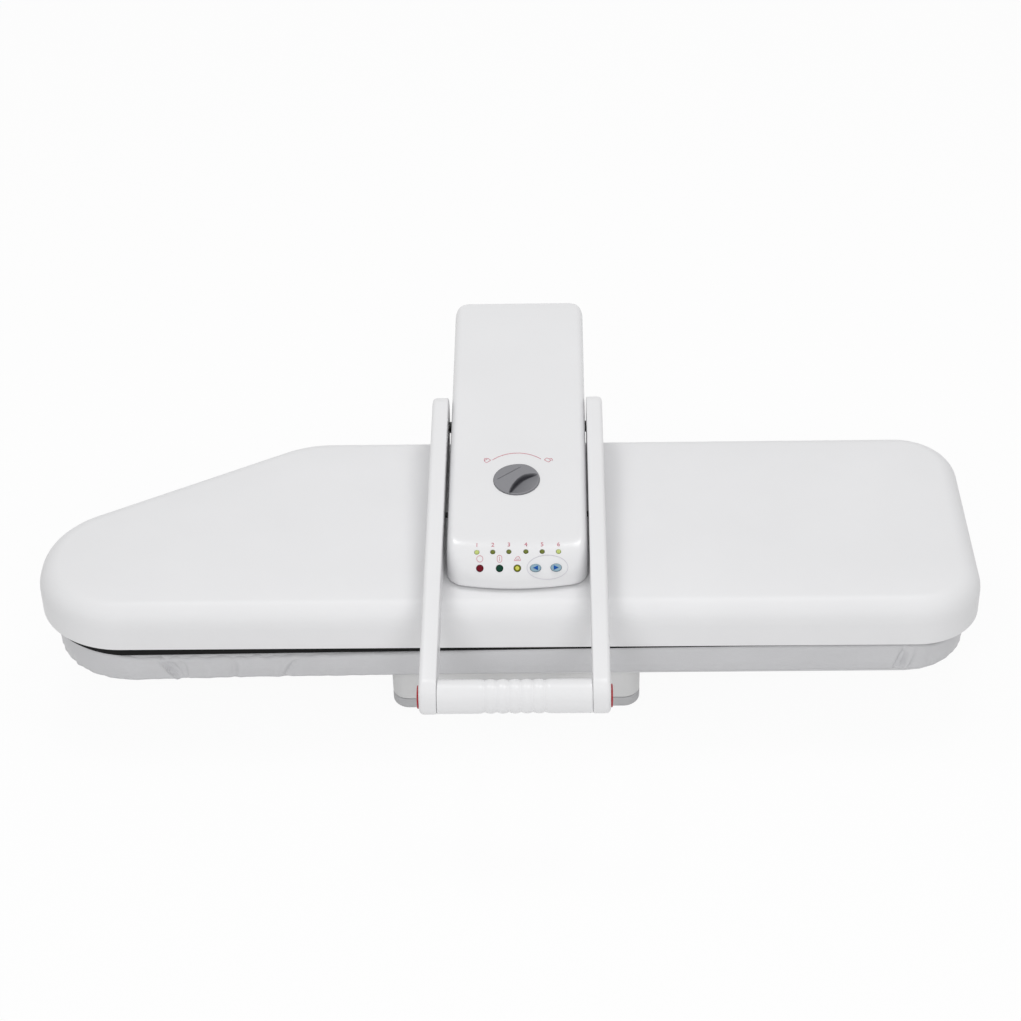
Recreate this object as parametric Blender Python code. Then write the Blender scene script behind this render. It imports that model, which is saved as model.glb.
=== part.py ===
"""A steam ironing press: a padded board on a low base, and a hinged steam head that a handle pulls down.

Metres, +Z up, +X along the board, -Y is the front. The origin is on the table under the middle of
the machine's box. The head turns about the main hinge behind the board, the handle turns on the
head, and a link between the handle's crank and the base makes the two move together.
"""

import math

import bmesh
import bpy
from mathutils import Matrix, Vector

for old in list(bpy.data.objects):
    bpy.data.objects.remove(old, do_unlink=True)

MM = 0.001
DEG = math.pi / 180
FULL = 2 * math.pi
QUARTER = math.pi / 2

# Shared
GAP = 0.3 * MM
OVERRUN = 4 * MM
MACHINE_X = 9 * MM
MACHINE_DEPTH = 527 * MM
ROUND_SIDES = 16
SMALL_SIDES = 12
CORNER_STEPS = 6
EDGE_STEPS = 3
SHARP_ANGLE = 35 * DEG

# Outline of the head and of the board: each corner as shares of the half length and half depth,
# with its radius as a share of the half depth. It runs anticlockwise from the front left corner.
CORNER_SHARES = (
    (-1.0, -1.0, 0.6),
    (1.0, -1.0, 0.455),
    (1.0, 1.0, 0.415),
    (-0.4615, 1.0, 0.68),
    (-1.0, -0.0075, 0.6),
)

# Head cover
HEAD_LENGTH = 833 * MM
HEAD_DEPTH = 264 * MM
HEAD_RIM_Z = 91 * MM
HEAD_TOP_Z = 132.5 * MM
HEAD_EDGE_RADIUS = 20 * MM
HEAD_WALL = 3 * MM
HATCH_WIDTH = 104 * MM
HATCH_FRONT_Y = -10 * MM
HATCH_REAR_Y = 108 * MM
POST_RADIUS = 5 * MM
POST_PLACE_SHARES = ((-0.72, -0.45), (-0.36, 0.5), (0.4, -0.5), (0.4, 0.5), (0.84, -0.4), (0.84, 0.4))

# Padded board
BOARD_SHORTER = 21 * MM
BOARD_NARROWER = 7 * MM
PAD_TOP_Z = 84 * MM
PAD_HEM_Z = 55.6 * MM
PAD_CLOTH = 1.4 * MM
PAD_EDGE_RADIUS = 5 * MM
PAD_HEM_DRAW = 1.4 * MM
PAD_CROWN = 0.5 * MM
PAD_BULGE_SHARES = ((0.0, 1.0), (0.12, 0.55), (0.35, 0.1), (0.6, 0.0), (0.8, 0.0))
TRAY_HEIGHT = 11 * MM
TRAY_WALL = 1.2 * MM

# Heated plate and what lies on it
PLATE_MARGIN = 12 * MM
PLATE_THICKNESS = 8 * MM
PLATE_EDGE_RADIUS = 2 * MM
HEATER_RADIUS = 3.2 * MM
HEATER_BEND = 40 * MM
HEATER_PLACE_SHARES = (
    (0.08, 0.56), (0.84, 0.56), (0.84, -0.6), (-0.84, -0.6), (-0.84, -0.06), (-0.44, 0.56), (-0.04, 0.56),
)
LID_MARGIN = 30 * MM
LID_THICKNESS = 4.7 * MM
SHIELD_MARGIN = 24 * MM
SHIELD_THICKNESS = 1.2 * MM
THERMOSTAT_RADIUS = 11 * MM
THERMOSTAT_HEIGHT = 12 * MM
THERMOSTAT_X = 120 * MM
THERMOSTAT_Y = 20 * MM

# Base
BASE_WIDTH = 223 * MM
BASE_FRONT_Y = -112 * MM
BASE_REAR_Y = 236 * MM
BASE_CORNER = 15 * MM
BASE_EDGE_RADIUS = 8 * MM
BASE_WALL = 3 * MM
FOOT_HEIGHT = 2.7 * MM
FOOT_RADIUS = 13 * MM
FOOT_MARGIN = 24 * MM
FOOT_EDGE = 0.6 * MM
SEAM_Z = 11.7 * MM
BASE_TOP_Z = 55 * MM
BASE_TRAY_WALL = 2.5 * MM
BASE_TRAY_EDGE = 3.5 * MM

# Power inlet in the rear wall of the base
INLET_X = 62 * MM
INLET_Z = 32 * MM
INLET_WIDTH = 24 * MM
INLET_HEIGHT = 17 * MM
INLET_DEPTH = 17 * MM
INLET_WALL = 2 * MM
INLET_FLANGE = 4 * MM
INLET_FLANGE_THICKNESS = 2.2 * MM
INLET_CORNER = 3 * MM
INLET_PIN_WIDTH = 1.8 * MM
INLET_PIN_HEIGHT = 5 * MM
INLET_PIN_LENGTH = 8 * MM
INLET_PIN_PITCH = 6.5 * MM

# Main hinge behind the board
HINGE_Y = 205 * MM
HINGE_Z = 95 * MM
HINGE_PIN_RADIUS = 5 * MM
HINGE_PIN_HEAD_RADIUS = 8 * MM
HINGE_PIN_HEAD = 2.5 * MM
BRACKET_CHEEK_X = 33 * MM
BRACKET_SHEET = 3 * MM
BRACKET_EAR_RADIUS = 13 * MM
BRACKET_FRONT_Y = 182 * MM
BRACKET_REAR_Y = 228 * MM
COLUMN_HALF_WIDTH = 42 * MM
COLUMN_WALL = 2 * MM
COLUMN_RADIUS = 26 * MM
COLUMN_SLOT_WIDTH = 16 * MM
SPRING_COIL_RADIUS = 7.6 * MM
SPRING_WIRE_RADIUS = 0.9 * MM
SPRING_TURNS = 6
SPRING_TURN_STEPS = 10
SPRING_WIRE_SIDES = 5
SPRING_INNER_X = 10 * MM
SPRING_PITCH = 2.9 * MM

# Yoke between the hinge and the head
YOKE_HALF_WIDTH = 46.5 * MM
YOKE_SHEET = 3 * MM
YOKE_HINGE_EAR = 16 * MM
YOKE_SHAFT_EAR = 14 * MM
YOKE_WEB_FRONT_Y = -28 * MM
YOKE_WEB_REAR_Y = 104 * MM
YOKE_FLANGE = 10 * MM
YOKE_HEAD_CLEARANCE = 2 * MM
YOKE_EAR_LOW_ANGLE = -135 * DEG
YOKE_EAR_HIGH_ANGLE = 72 * DEG

# Console
CONSOLE_WIDTH = 121.4 * MM
CONSOLE_WALL = 2.5 * MM
CONSOLE_FRONT_Y = -106.2 * MM
CONSOLE_FRONT_RADIUS = 43.4 * MM
CONSOLE_BOW = 5 * MM
CONSOLE_BOW_HALF_SPAN = 47 * MM
CONSOLE_FRONT_CORNER = 14 * MM
CONSOLE_REAR_CORNER = 14 * MM
CONSOLE_EDGE_RADIUS = 7 * MM
CONSOLE_REAR_RADIUS = 5 * MM
CONSOLE_SKIRT_Z = 104 * MM
CONSOLE_REAR_WALL_Z = 117 * MM
CONSOLE_SKIRT_SLOPE = 24 * MM
CONSOLE_HEAD_GAP = 3 * MM
PANEL_TILT = 6 * DEG
PANEL_KNOB_Y = 4.5 * MM
PANEL_KNOB_Z = 171.7 * MM
FLAT_STATIONS = 6
ROUND_STATIONS = 4
FRONT_ARC_STEPS = 8

# Lamps and buttons on the console's rounded front
SMALL_LAMP_RADIUS = 2 * MM
SMALL_LAMP_X = (-34 * MM, -20.2 * MM, -6.2 * MM, 8.6 * MM, 22.7 * MM, 36.9 * MM)
SMALL_LAMP_ANGLE = 31.4 * DEG
BIG_LAMP_RADIUS = 3 * MM
BIG_LAMP_X = (-31.4 * MM, -14.3 * MM, 1.1 * MM)
BIG_LAMP_ANGLE = 54.2 * DEG
ROW_DROOP = 1.9 * DEG
ROW_HALF_SPAN = 35 * MM
LAMP_SIDES = 12
LAMP_PROUD = 0.9 * MM
LAMP_DEPTH = 7 * MM
LAMP_DOME_ANGLES = (45 * DEG, 75 * DEG)
SET_BUTTON_X = (16.9 * MM, 34.7 * MM)
SET_BUTTON_WIDTH = 9.3 * MM
SET_BUTTON_HEIGHT = 6.6 * MM
SET_BUTTON_PROUD = 1.8 * MM
SET_BUTTON_DEPTH = 6 * MM
SET_BUTTON_TRAVEL = 1.4 * MM
BOARD_PLATE_MARGIN = 10.2 * MM
BOARD_PLATE_HEIGHT = 26 * MM
BOARD_PLATE_THICKNESS = 1.6 * MM
BOARD_POST_INSET = 4 * MM
BOARD_POST_RADIUS = 3 * MM

# Lock: knob, cam and two bolts
KNOB_RADIUS = 20.6 * MM
KNOB_PROUD = 1.5 * MM
KNOB_SINK = 8 * MM
KNOB_EDGE = 0.7 * MM
KNOB_RIM = 1.2 * MM
KNOB_NEAR_FLANK = 1.4 * MM
KNOB_NEAR_FLARE = 6 * MM
KNOB_FAR_FLANK = 10.6 * MM
KNOB_FAR_FLARE = 0.4 * MM
KNOB_NEAR_LENGTH_SHARE = 0.88
KNOB_FAR_LENGTH_SHARE = 0.78
KNOB_RIDGE_ANGLE = 45 * DEG
KNOB_SCOOP_DEPTH = 5.5 * MM
KNOB_FAR_DEPTH = 2.4 * MM
KNOB_SCOOP_STEPS = 8
KNOB_SCOOP_SLOPE_SHARE = 0.7
SPINDLE_RADIUS = 3 * MM
CAM_RADIUS = 19 * MM
CAM_THICKNESS = 3 * MM
CAM_DEPTH = 12 * MM
CAM_SLOT_START = 14 * MM
CAM_PITCH = 3 * MM
CAM_TURN = 96 * DEG
CAM_SLOT_STEPS = 14
BOLT_PEG_RADIUS = 1.5 * MM
BOLT_PLATE = 3.4 * MM
BOLT_PLATE_WIDTH = 8 * MM
BOLT_SET_FORWARD = 27.6 * MM
BOLT_PLATE_END = 50 * MM
BOLT_ROD_RADIUS = 2.6 * MM
SLOT_CLEARANCE = 0.45 * MM

# Handle
SHAFT_Y = 101 * MM
SHAFT_Z = 162.5 * MM
SHAFT_RADIUS = 3.5 * MM
BUSH_RADIUS = 5.2 * MM
ARM_INNER_X = 63.8 * MM
ARM_THICKNESS = 14.7 * MM
ARM_EDGE_RADIUS = 3 * MM
ARM_EDGE_STEPS = 2
ARM_BOSS_RADIUS = 25 * MM
ARM_REAR_OVERHANG = 29 * MM
ARM_BOSS_RISE = 2.68 * MM
ARM_FRONT_HEIGHT = 31.3 * MM
ARM_UNDERSIDE_Z = 137 * MM
ARM_KNEE_Y = -125 * MM
ARM_FRONT_TOP_RADIUS = 17 * MM
ARM_KNEE_RADIUS = 40 * MM
GRIP_Z = 136.6 * MM
GRIP_RADIUS = 14.1 * MM
GRIP_SIDES = 18
GRIP_GROOVE_COUNT = 6
GRIP_GROOVE_PITCH = 9.9 * MM
GRIP_GROOVE_DEPTH = 1.1 * MM
GRIP_GROOVE_STEPS = 4
GRIP_TUBE_RADIUS = 9 * MM
GRIP_TUBE_WALL = 1.6 * MM
SOCKET_DEPTH = 6 * MM
BAR_THICKNESS = 4 * MM
BAR_HALF_HEIGHT = 9 * MM
STEAM_BUTTON_RADIUS = 9.7 * MM
STEAM_BUTTON_PROUD = 2.2 * MM
STEAM_BUTTON_TRAVEL = 2 * MM
STEAM_BUTTON_BODY = 2.2 * MM
STEAM_BUTTON_EDGE = 0.7 * MM

# Crank and pull link
CRANK_REACH_Y = 52.7 * MM
CRANK_DROP_Z = 24 * MM
CRANK_HUB_RADIUS = 10 * MM
CRANK_EYE_RADIUS = 7 * MM
CRANK_CHEEK = 3 * MM
CRANK_PIN_RADIUS = 3 * MM
LINK_FOOT_Y = 215 * MM
LINK_FOOT_Z = 76 * MM
LINK_THICKNESS = 5 * MM
LINK_EYE_RADIUS = 7 * MM
LINK_PIN_RADIUS = 3.5 * MM

# Water system
TANK_HALF_WIDTH = 45 * MM
TANK_FRONT_Y = 184 * MM
TANK_BOTTOM_Z = 124 * MM
TANK_TOP_CLEARANCE = 1.5 * MM
TANK_CORNER = 6 * MM
TANK_WALL = 2.5 * MM
RAIL_INNER_X = 42.6 * MM
RAIL_FRONT_Y = 191 * MM
RAIL_HEIGHT = 3.4 * MM
FLAP_WIDTH = 60 * MM
FLAP_HEIGHT = 26 * MM
FLAP_THICKNESS = 2.4 * MM
FLAP_TOP_MARGIN = 7 * MM
FLAP_CORNER = 5 * MM
FILLER_RADIUS = 9 * MM
PUMP_X = -27 * MM
PUMP_RADIUS = 13 * MM
PUMP_FRONT_Y = 36 * MM
PUMP_LENGTH = 52 * MM
PUMP_INLET_SHARE = 0.75
HOSE_RADIUS = 3 * MM
HOSE_BEND = 12 * MM
FEED_BEND = 6 * MM
HOSE_SIDES = 8
STEAM_PORT_Y = -50 * MM

# Heights and places that follow from the sizes above
BOARD_LENGTH = HEAD_LENGTH - BOARD_SHORTER
BOARD_DEPTH = HEAD_DEPTH - BOARD_NARROWER
CONSOLE_REAR_Y = MACHINE_DEPTH / 2
GRIP_Y = GRIP_RADIUS - MACHINE_DEPTH / 2
PLATE_Z = PAD_TOP_Z + GAP
HEATER_Z = PLATE_Z + PLATE_THICKNESS + GAP + HEATER_RADIUS
LID_Z = HEATER_Z + HEATER_RADIUS + GAP
SHIELD_Z = LID_Z + LID_THICKNESS + GAP
WEB_Z = SHIELD_Z + SHIELD_THICKNESS + GAP
WEB_TOP_Z = WEB_Z + YOKE_SHEET
BASE_TRAY_Z = FOOT_HEIGHT + GAP
HOUSING_Z = SEAM_Z + GAP
BOARD_TRAY_Z = BASE_TOP_Z + GAP
CONSOLE_Z = HEAD_TOP_Z + GAP
BOARD_PLATE_WIDTH = CONSOLE_WIDTH - 2 * BOARD_PLATE_MARGIN
BOARD_POST_X = BOARD_PLATE_WIDTH / 2 - BOARD_POST_INSET
ARM_OUTER_X = ARM_INNER_X + ARM_THICKNESS
CRANK_PIN_Y = SHAFT_Y + CRANK_REACH_Y
CRANK_PIN_Z = SHAFT_Z - CRANK_DROP_Z
CHEEK_INNER_X = BRACKET_CHEEK_X - BRACKET_SHEET
CONSOLE_ARC_Y = CONSOLE_FRONT_Y + CONSOLE_FRONT_RADIUS
TANK_RIM_GAP = 2 * GAP
PUMP_Z = WEB_TOP_Z + GAP + PUMP_RADIUS


def panel_height(y):
    """Height of the console's sloping top face at a place along the machine."""
    return PANEL_KNOB_Z + (y - PANEL_KNOB_Y) * math.tan(PANEL_TILT)


CONSOLE_ARC_TOP_Y = CONSOLE_ARC_Y - CONSOLE_FRONT_RADIUS * math.sin(PANEL_TILT)
CONSOLE_ARC_RISE = (panel_height(CONSOLE_ARC_TOP_Y) - CONSOLE_Z) / math.cos(PANEL_TILT)


def material(name, colour, roughness, metallic=0.0, alpha=1.0):
    """A Principled material in one plain finish."""
    mat = bpy.data.materials.new(name)
    mat.use_nodes = True
    shader = mat.node_tree.nodes["Principled BSDF"]
    shader.inputs["Base Color"].default_value = (*colour, 1.0)
    shader.inputs["Roughness"].default_value = roughness
    shader.inputs["Metallic"].default_value = metallic
    shader.inputs["Alpha"].default_value = alpha
    mat.diffuse_color = (*colour, alpha)
    return mat


WHITE = material("gloss_white_plastic", (0.79, 0.79, 0.80), 0.25)
HANDLE_WHITE = material("handle_white_plastic", (0.83, 0.83, 0.84), 0.3)
BASE_GREY = material("base_plastic", (0.66, 0.66, 0.67), 0.4)
TRAY_GREY = material("tray_plastic", (0.42, 0.42, 0.43), 0.5)
CLOTH = material("silver_cloth", (0.62, 0.62, 0.64), 0.45, 0.2)
FOAM = material("foam", (0.75, 0.68, 0.45), 0.95)
ALUMINIUM = material("cast_aluminium", (0.35, 0.35, 0.36), 0.4, 0.9)
STEEL = material("zinc_steel", (0.55, 0.55, 0.56), 0.35, 0.9)
SPRING_STEEL = material("spring_steel", (0.20, 0.20, 0.21), 0.35, 0.9)
BLACK = material("black_plastic", (0.02, 0.02, 0.02), 0.5)
RUBBER = material("rubber", (0.04, 0.04, 0.04), 0.8)
KNOB_GREY = material("knob_plastic", (0.25, 0.25, 0.27), 0.45)
RED = material("red_plastic", (0.62, 0.02, 0.02), 0.35)
RED_LENS = material("red_lens", (0.20, 0.01, 0.02), 0.15)
GREEN_LENS = material("green_lens", (0.02, 0.10, 0.05), 0.15)
YELLOW_LENS = material("yellow_lens", (0.55, 0.50, 0.08), 0.15)
OLIVE_LENS = material("olive_lens", (0.22, 0.24, 0.04), 0.2)
LIT_LENS = material("lit_lens", (0.50, 0.55, 0.12), 0.2)
BLUE_BUTTON = material("pale_blue_plastic", (0.45, 0.66, 0.80), 0.35)
CIRCUIT = material("circuit_board", (0.02, 0.16, 0.06), 0.4)
TANK_PLASTIC = material("tank_plastic", (0.55, 0.68, 0.78), 0.15, 0.0, 0.8)
HOSE = material("silicone_hose", (0.75, 0.72, 0.66), 0.5)


def new_object(name, bm, mat, shift=(0, 0, 0)):
    """Turns a bmesh into a closed, outward facing object, with its place in its mesh."""
    if shift != (0, 0, 0):
        bmesh.ops.translate(bm, verts=bm.verts, vec=shift)
    bmesh.ops.recalc_face_normals(bm, faces=bm.faces)
    mesh = bpy.data.meshes.new(name)
    bm.to_mesh(mesh)
    bm.free()
    mesh.shade_smooth()
    mesh.set_sharp_from_angle(angle=SHARP_ANGLE)
    thing = bpy.data.objects.new(name, mesh)
    bpy.context.scene.collection.objects.link(thing)
    thing.data.materials.append(mat)
    return thing


def stack(name, rings, mat, shift=(0, 0, 0)):
    """A closed body through rings of equal count, with a face over each end."""
    bm = bmesh.new()
    loops = [[bm.verts.new(point) for point in ring] for ring in rings]
    count = len(loops[0])
    for low, high in zip(loops, loops[1:]):
        for i in range(count):
            j = (i + 1) % count
            bm.faces.new((low[i], low[j], high[j], high[i]))
    bm.faces.new(loops[0])
    bm.faces.new(loops[-1])
    return new_object(name, bm, mat, shift)


def ring_loop(name, rings, mat, shift=(0, 0, 0)):
    """A closed body whose last ring joins its first, such as a bush with a bore."""
    bm = bmesh.new()
    loops = [[bm.verts.new(point) for point in ring] for ring in rings]
    count = len(loops[0])
    for low, high in zip(loops, loops[1:] + loops[:1]):
        for i in range(count):
            j = (i + 1) % count
            bm.faces.new((low[i], low[j], high[j], high[i]))
    return new_object(name, bm, mat, shift)


def place(axis, flat, height):
    """A point from its two flat coordinates and its place along the axis they are square to."""
    a, b = flat
    return {"x": (height, a, b), "y": (a, height, b), "z": (a, b, height)}[axis]


def prism(name, outline, axis, low, high, mat, shift=(0, 0, 0)):
    """An outline carried straight along an axis."""
    rings = [[place(axis, point, level) for point in outline] for level in (low, high)]
    return stack(name, rings, mat, shift)


def circle(centre, radius, sides=ROUND_SIDES):
    """Points round a circle."""
    turns = [FULL * (i + 0.5) / sides for i in range(sides)]
    return [(centre[0] + radius * math.cos(t), centre[1] + radius * math.sin(t)) for t in turns]


def rod(name, axis, centre, radius, low, high, mat, sides=ROUND_SIDES, shift=(0, 0, 0)):
    """A plain round bar."""
    return prism(name, circle(centre, radius, sides), axis, low, high, mat, shift)


def arc(centre, radius, start, stop, steps):
    """Points along an arc from one angle to another."""
    turns = [start + (stop - start) * i / steps for i in range(steps + 1)]
    return [(centre[0] + radius * math.cos(t), centre[1] + radius * math.sin(t)) for t in turns]


def fillet(corners, radii, steps=CORNER_STEPS):
    """A polygon with each corner rounded to its radius."""
    points = []
    for i, (corner, radius) in enumerate(zip(corners, radii)):
        here = Vector(corner)
        back = (Vector(corners[i - 1]) - here).normalized()
        ahead = (Vector(corners[(i + 1) % len(corners)]) - here).normalized()
        half = back.angle(ahead) / 2
        centre = here + (back + ahead).normalized() * (radius / math.sin(half))
        start = here + back * (radius / math.tan(half)) - centre
        stop = here + ahead * (radius / math.tan(half)) - centre
        first = math.atan2(start.y, start.x)
        sweep = (math.atan2(stop.y, stop.x) - first + math.pi) % FULL - math.pi
        points += arc(centre, radius, first, first + sweep, steps)
    return points


def inset_corners(corners, amount):
    """Corners of an anticlockwise polygon whose sides have moved inwards."""
    moved = []
    for i, corner in enumerate(corners):
        here = Vector(corner)
        back = (here - Vector(corners[i - 1])).normalized()
        ahead = (Vector(corners[(i + 1) % len(corners)]) - here).normalized()
        inward_back = Vector((-back.y, back.x))
        inward_ahead = Vector((-ahead.y, ahead.x))
        middle = (inward_back + inward_ahead).normalized()
        moved.append(tuple(here + middle * (amount / middle.dot(inward_back))))
    return moved


def board_outline(length, depth, inset=0.0):
    """The rounded outline with one slanted side that the head, the plate and the board share."""
    corners = [(x * length / 2, y * depth / 2) for x, y, r in CORNER_SHARES]
    radii = [r * depth / 2 - inset for x, y, r in CORNER_SHARES]
    return fillet(inset_corners(corners, inset), radii)


def base_outline(inset=0.0):
    """The base's rounded rectangle."""
    x = BASE_WIDTH / 2 - inset
    low, high = BASE_FRONT_Y + inset, BASE_REAR_Y - inset
    return fillet([(-x, low), (x, low), (x, high), (-x, high)], [max(BASE_CORNER - inset, GAP)] * 4)


def rectangle(x0, y0, x1, y1, radius=0.0, steps=EDGE_STEPS):
    """A rectangle, with round corners if it has a radius."""
    corners = [(x0, y0), (x1, y0), (x1, y1), (x0, y1)]
    return fillet(corners, [radius] * 4, steps) if radius else corners


def at_height(outline, z):
    """A flat outline as a ring at a height."""
    return [(x, y, z) for x, y in outline]


def sweep(name, points, radius, sides, mat, shift=(0, 0, 0)):
    """A round tube along a path, its rings carried along without twist."""
    points = [Vector(p) for p in points]
    across = None
    rings = []
    for i, point in enumerate(points):
        before = points[max(i - 1, 0)]
        after = points[min(i + 1, len(points) - 1)]
        along = (after - before).normalized()
        if across is None:
            across = along.orthogonal()
        across = (across - along * across.dot(along)).normalized()
        other = along.cross(across)
        rings.append([
            point + (across * math.cos(FULL * k / sides) + other * math.sin(FULL * k / sides)) * radius
            for k in range(sides)
        ])
    return stack(name, rings, mat, shift)


def bent_path(corners, bend, steps=CORNER_STEPS):
    """A path of straight runs whose corners are rounded to a bend radius."""
    corners = [Vector(c) for c in corners]
    path = [corners[0]]
    for before, here, after in zip(corners, corners[1:], corners[2:]):
        back, ahead = (before - here).normalized(), (after - here).normalized()
        half = back.angle(ahead) / 2
        centre = here + (back + ahead).normalized() * (bend / math.sin(half))
        start = here + back * (bend / math.tan(half)) - centre
        stop = here + ahead * (bend / math.tan(half)) - centre
        turn = start.angle(stop)
        for k in range(steps + 1):
            share = k / steps
            mixed = start * math.sin((1 - share) * turn) + stop * math.sin(share * turn)
            path.append(centre + mixed / math.sin(turn))
    return path + [corners[-1]]


def operand(thing):
    """Hides a body that only shapes another one."""
    thing.hide_render = True
    thing.display_type = "WIRE"
    return thing


def shape_with(thing, tool, operation):
    """Adds one live Boolean with another body."""
    step = thing.modifiers.new(operation.lower(), "BOOLEAN")
    step.operation = operation
    step.solver = "EXACT"
    step.object = operand(tool)


def cut(thing, tool):
    """Takes a body out of another."""
    shape_with(thing, tool, "DIFFERENCE")


def fuse(thing, tool):
    """Adds a body to another."""
    shape_with(thing, tool, "UNION")


def pivot(name, spot):
    """An empty on a joint's axis, which the joint's pieces hang from."""
    empty = bpy.data.objects.new(name, None)
    empty.location = spot
    bpy.context.scene.collection.objects.link(empty)
    return empty


def hang(empty, *things):
    """Parents pieces to a joint's empty and leaves them where they are."""
    for thing in things:
        thing.parent = empty
        thing.matrix_parent_inverse = Matrix.Translation(empty.location).inverted()


def local_turned(name, profile, frame, mat, sides=SMALL_SIDES, stretch=(1.0, 1.0)):
    """A turned body with its axis along a frame's Z, from (radius, height) pairs."""
    rings = [
        [frame @ Vector((x * stretch[0], y * stretch[1], h)) for x, y in circle((0, 0), r, sides)]
        for r, h in profile
    ]
    return stack(name, rings, mat)


def local_prism(name, outline, frame, low, high, mat):
    """An outline carried straight along a frame's Z."""
    rings = [[frame @ Vector((x, y, level)) for x, y in outline] for level in (low, high)]
    return stack(name, rings, mat)


# Joint axes
MACHINE = (MACHINE_X, 0, 0)
head_hinge = pivot("head_hinge_axis", (MACHINE_X, HINGE_Y, HINGE_Z))
handle_pivot = pivot("handle_axis", (MACHINE_X, SHAFT_Y, SHAFT_Z))
link_pivot = pivot("link_axis", (MACHINE_X, LINK_FOOT_Y, LINK_FOOT_Z))


def machine(name, outline, axis, low, high, mat):
    """A prism placed from the machine's middle, which stands beside the board's."""
    return prism(name, outline, axis, low, high, mat, MACHINE)


def machine_rod(name, axis, centre, radius, low, high, mat, sides=ROUND_SIDES):
    """A round bar placed from the machine's middle."""
    return rod(name, axis, centre, radius, low, high, mat, sides, MACHINE)


# Base: a shallow tray on four rubber feet, closed by the housing
def pan(name, outline, low, high, edge, wall, mat, shift=(0, 0, 0)):
    """An open tray with a rounded lower edge and one wall thickness."""
    rings = [at_height(outline(edge * (1 - math.sin(t))), low + edge * (1 - math.cos(t)))
             for t in (QUARTER * i / EDGE_STEPS for i in range(EDGE_STEPS + 1))]
    rings += [at_height(outline(0), high), at_height(outline(wall), high)]
    rings += [at_height(outline(edge), low + wall)]
    return stack(name, rings, mat, shift)


def lid(name, outline, low, high, edge, wall, mat, steps=EDGE_STEPS, shift=(0, 0, 0)):
    """A cover with a rounded upper edge, open below, with one wall thickness."""
    turns = [QUARTER * i / steps for i in range(steps + 1)]
    rings = [at_height(outline(edge * (1 - math.sin(t))), high - edge * (1 - math.cos(t))) for t in turns]
    rings += [at_height(outline(0), low), at_height(outline(wall), low)]
    inner = edge - wall
    rings += [at_height(outline(wall + inner * (1 - math.sin(t))), high - wall - inner * (1 - math.cos(t)))
              for t in reversed(turns)]
    return stack(name, rings, mat, shift)


base_tray = pan(
    "base_tray", base_outline, BASE_TRAY_Z, SEAM_Z, BASE_TRAY_EDGE, BASE_TRAY_WALL, TRAY_GREY, MACHINE)
base_housing = lid(
    "base_housing", base_outline, HOUSING_Z, BASE_TOP_Z, BASE_EDGE_RADIUS, BASE_WALL, BASE_GREY,
    shift=MACHINE,
)
for depth_name, foot_y in (("front", BASE_FRONT_Y + FOOT_MARGIN), ("rear", BASE_REAR_Y - FOOT_MARGIN)):
    for side_name, side in (("left", -1), ("right", 1)):
        foot_x = side * (BASE_WIDTH / 2 - FOOT_MARGIN)
        rings = [at_height(circle((foot_x, foot_y), r), z) for r, z in (
            (FOOT_RADIUS - FOOT_EDGE, 0), (FOOT_RADIUS, FOOT_EDGE), (FOOT_RADIUS, FOOT_HEIGHT))]
        stack(f"foot_{depth_name}_{side_name}", rings, RUBBER, MACHINE)

# Power inlet: a cup with a flange outside the rear wall and three contact pins inside
INLET_BODY = (INLET_WIDTH / 2 + INLET_WALL, INLET_HEIGHT / 2 + INLET_WALL)


def inlet_outline(grow, corner):
    """A rounded rectangle round the inlet's middle."""
    x, z = INLET_BODY[0] + grow, INLET_BODY[1] + grow
    return rectangle(INLET_X - x, INLET_Z - z, INLET_X + x, INLET_Z + z, corner)


INLET_FACE_Y = BASE_REAR_Y + GAP
INLET_FLOOR_Y = BASE_REAR_Y - INLET_DEPTH
power_inlet = stack("power_inlet", [
    [place("y", p, y) for p in inlet_outline(grow, INLET_CORNER)]
    for grow, y in (
        (-INLET_WALL, INLET_FLOOR_Y),
        (-INLET_WALL, INLET_FACE_Y + INLET_FLANGE_THICKNESS),
        (INLET_FLANGE, INLET_FACE_Y + INLET_FLANGE_THICKNESS),
        (INLET_FLANGE, INLET_FACE_Y),
        (0, INLET_FACE_Y),
        (0, INLET_FLOOR_Y - INLET_WALL),
    )
], BLACK, MACHINE)
for index in (-1, 0, 1):
    pin_x, pin_z = INLET_X + index * INLET_PIN_PITCH, INLET_Z
    pin = machine(
        f"inlet_pin_{index + 2}",
        rectangle(pin_x - INLET_PIN_WIDTH / 2, pin_z - INLET_PIN_HEIGHT / 2,
                  pin_x + INLET_PIN_WIDTH / 2, pin_z + INLET_PIN_HEIGHT / 2),
        "y", INLET_FLOOR_Y - INLET_WALL / 2, INLET_FLOOR_Y + INLET_PIN_LENGTH, STEEL)
    fuse(power_inlet, pin)
cut(base_housing, machine(
    "inlet_hole", inlet_outline(GAP, INLET_CORNER), "y",
    BASE_REAR_Y - BASE_WALL - OVERRUN, BASE_REAR_Y + OVERRUN, BASE_GREY))

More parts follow.
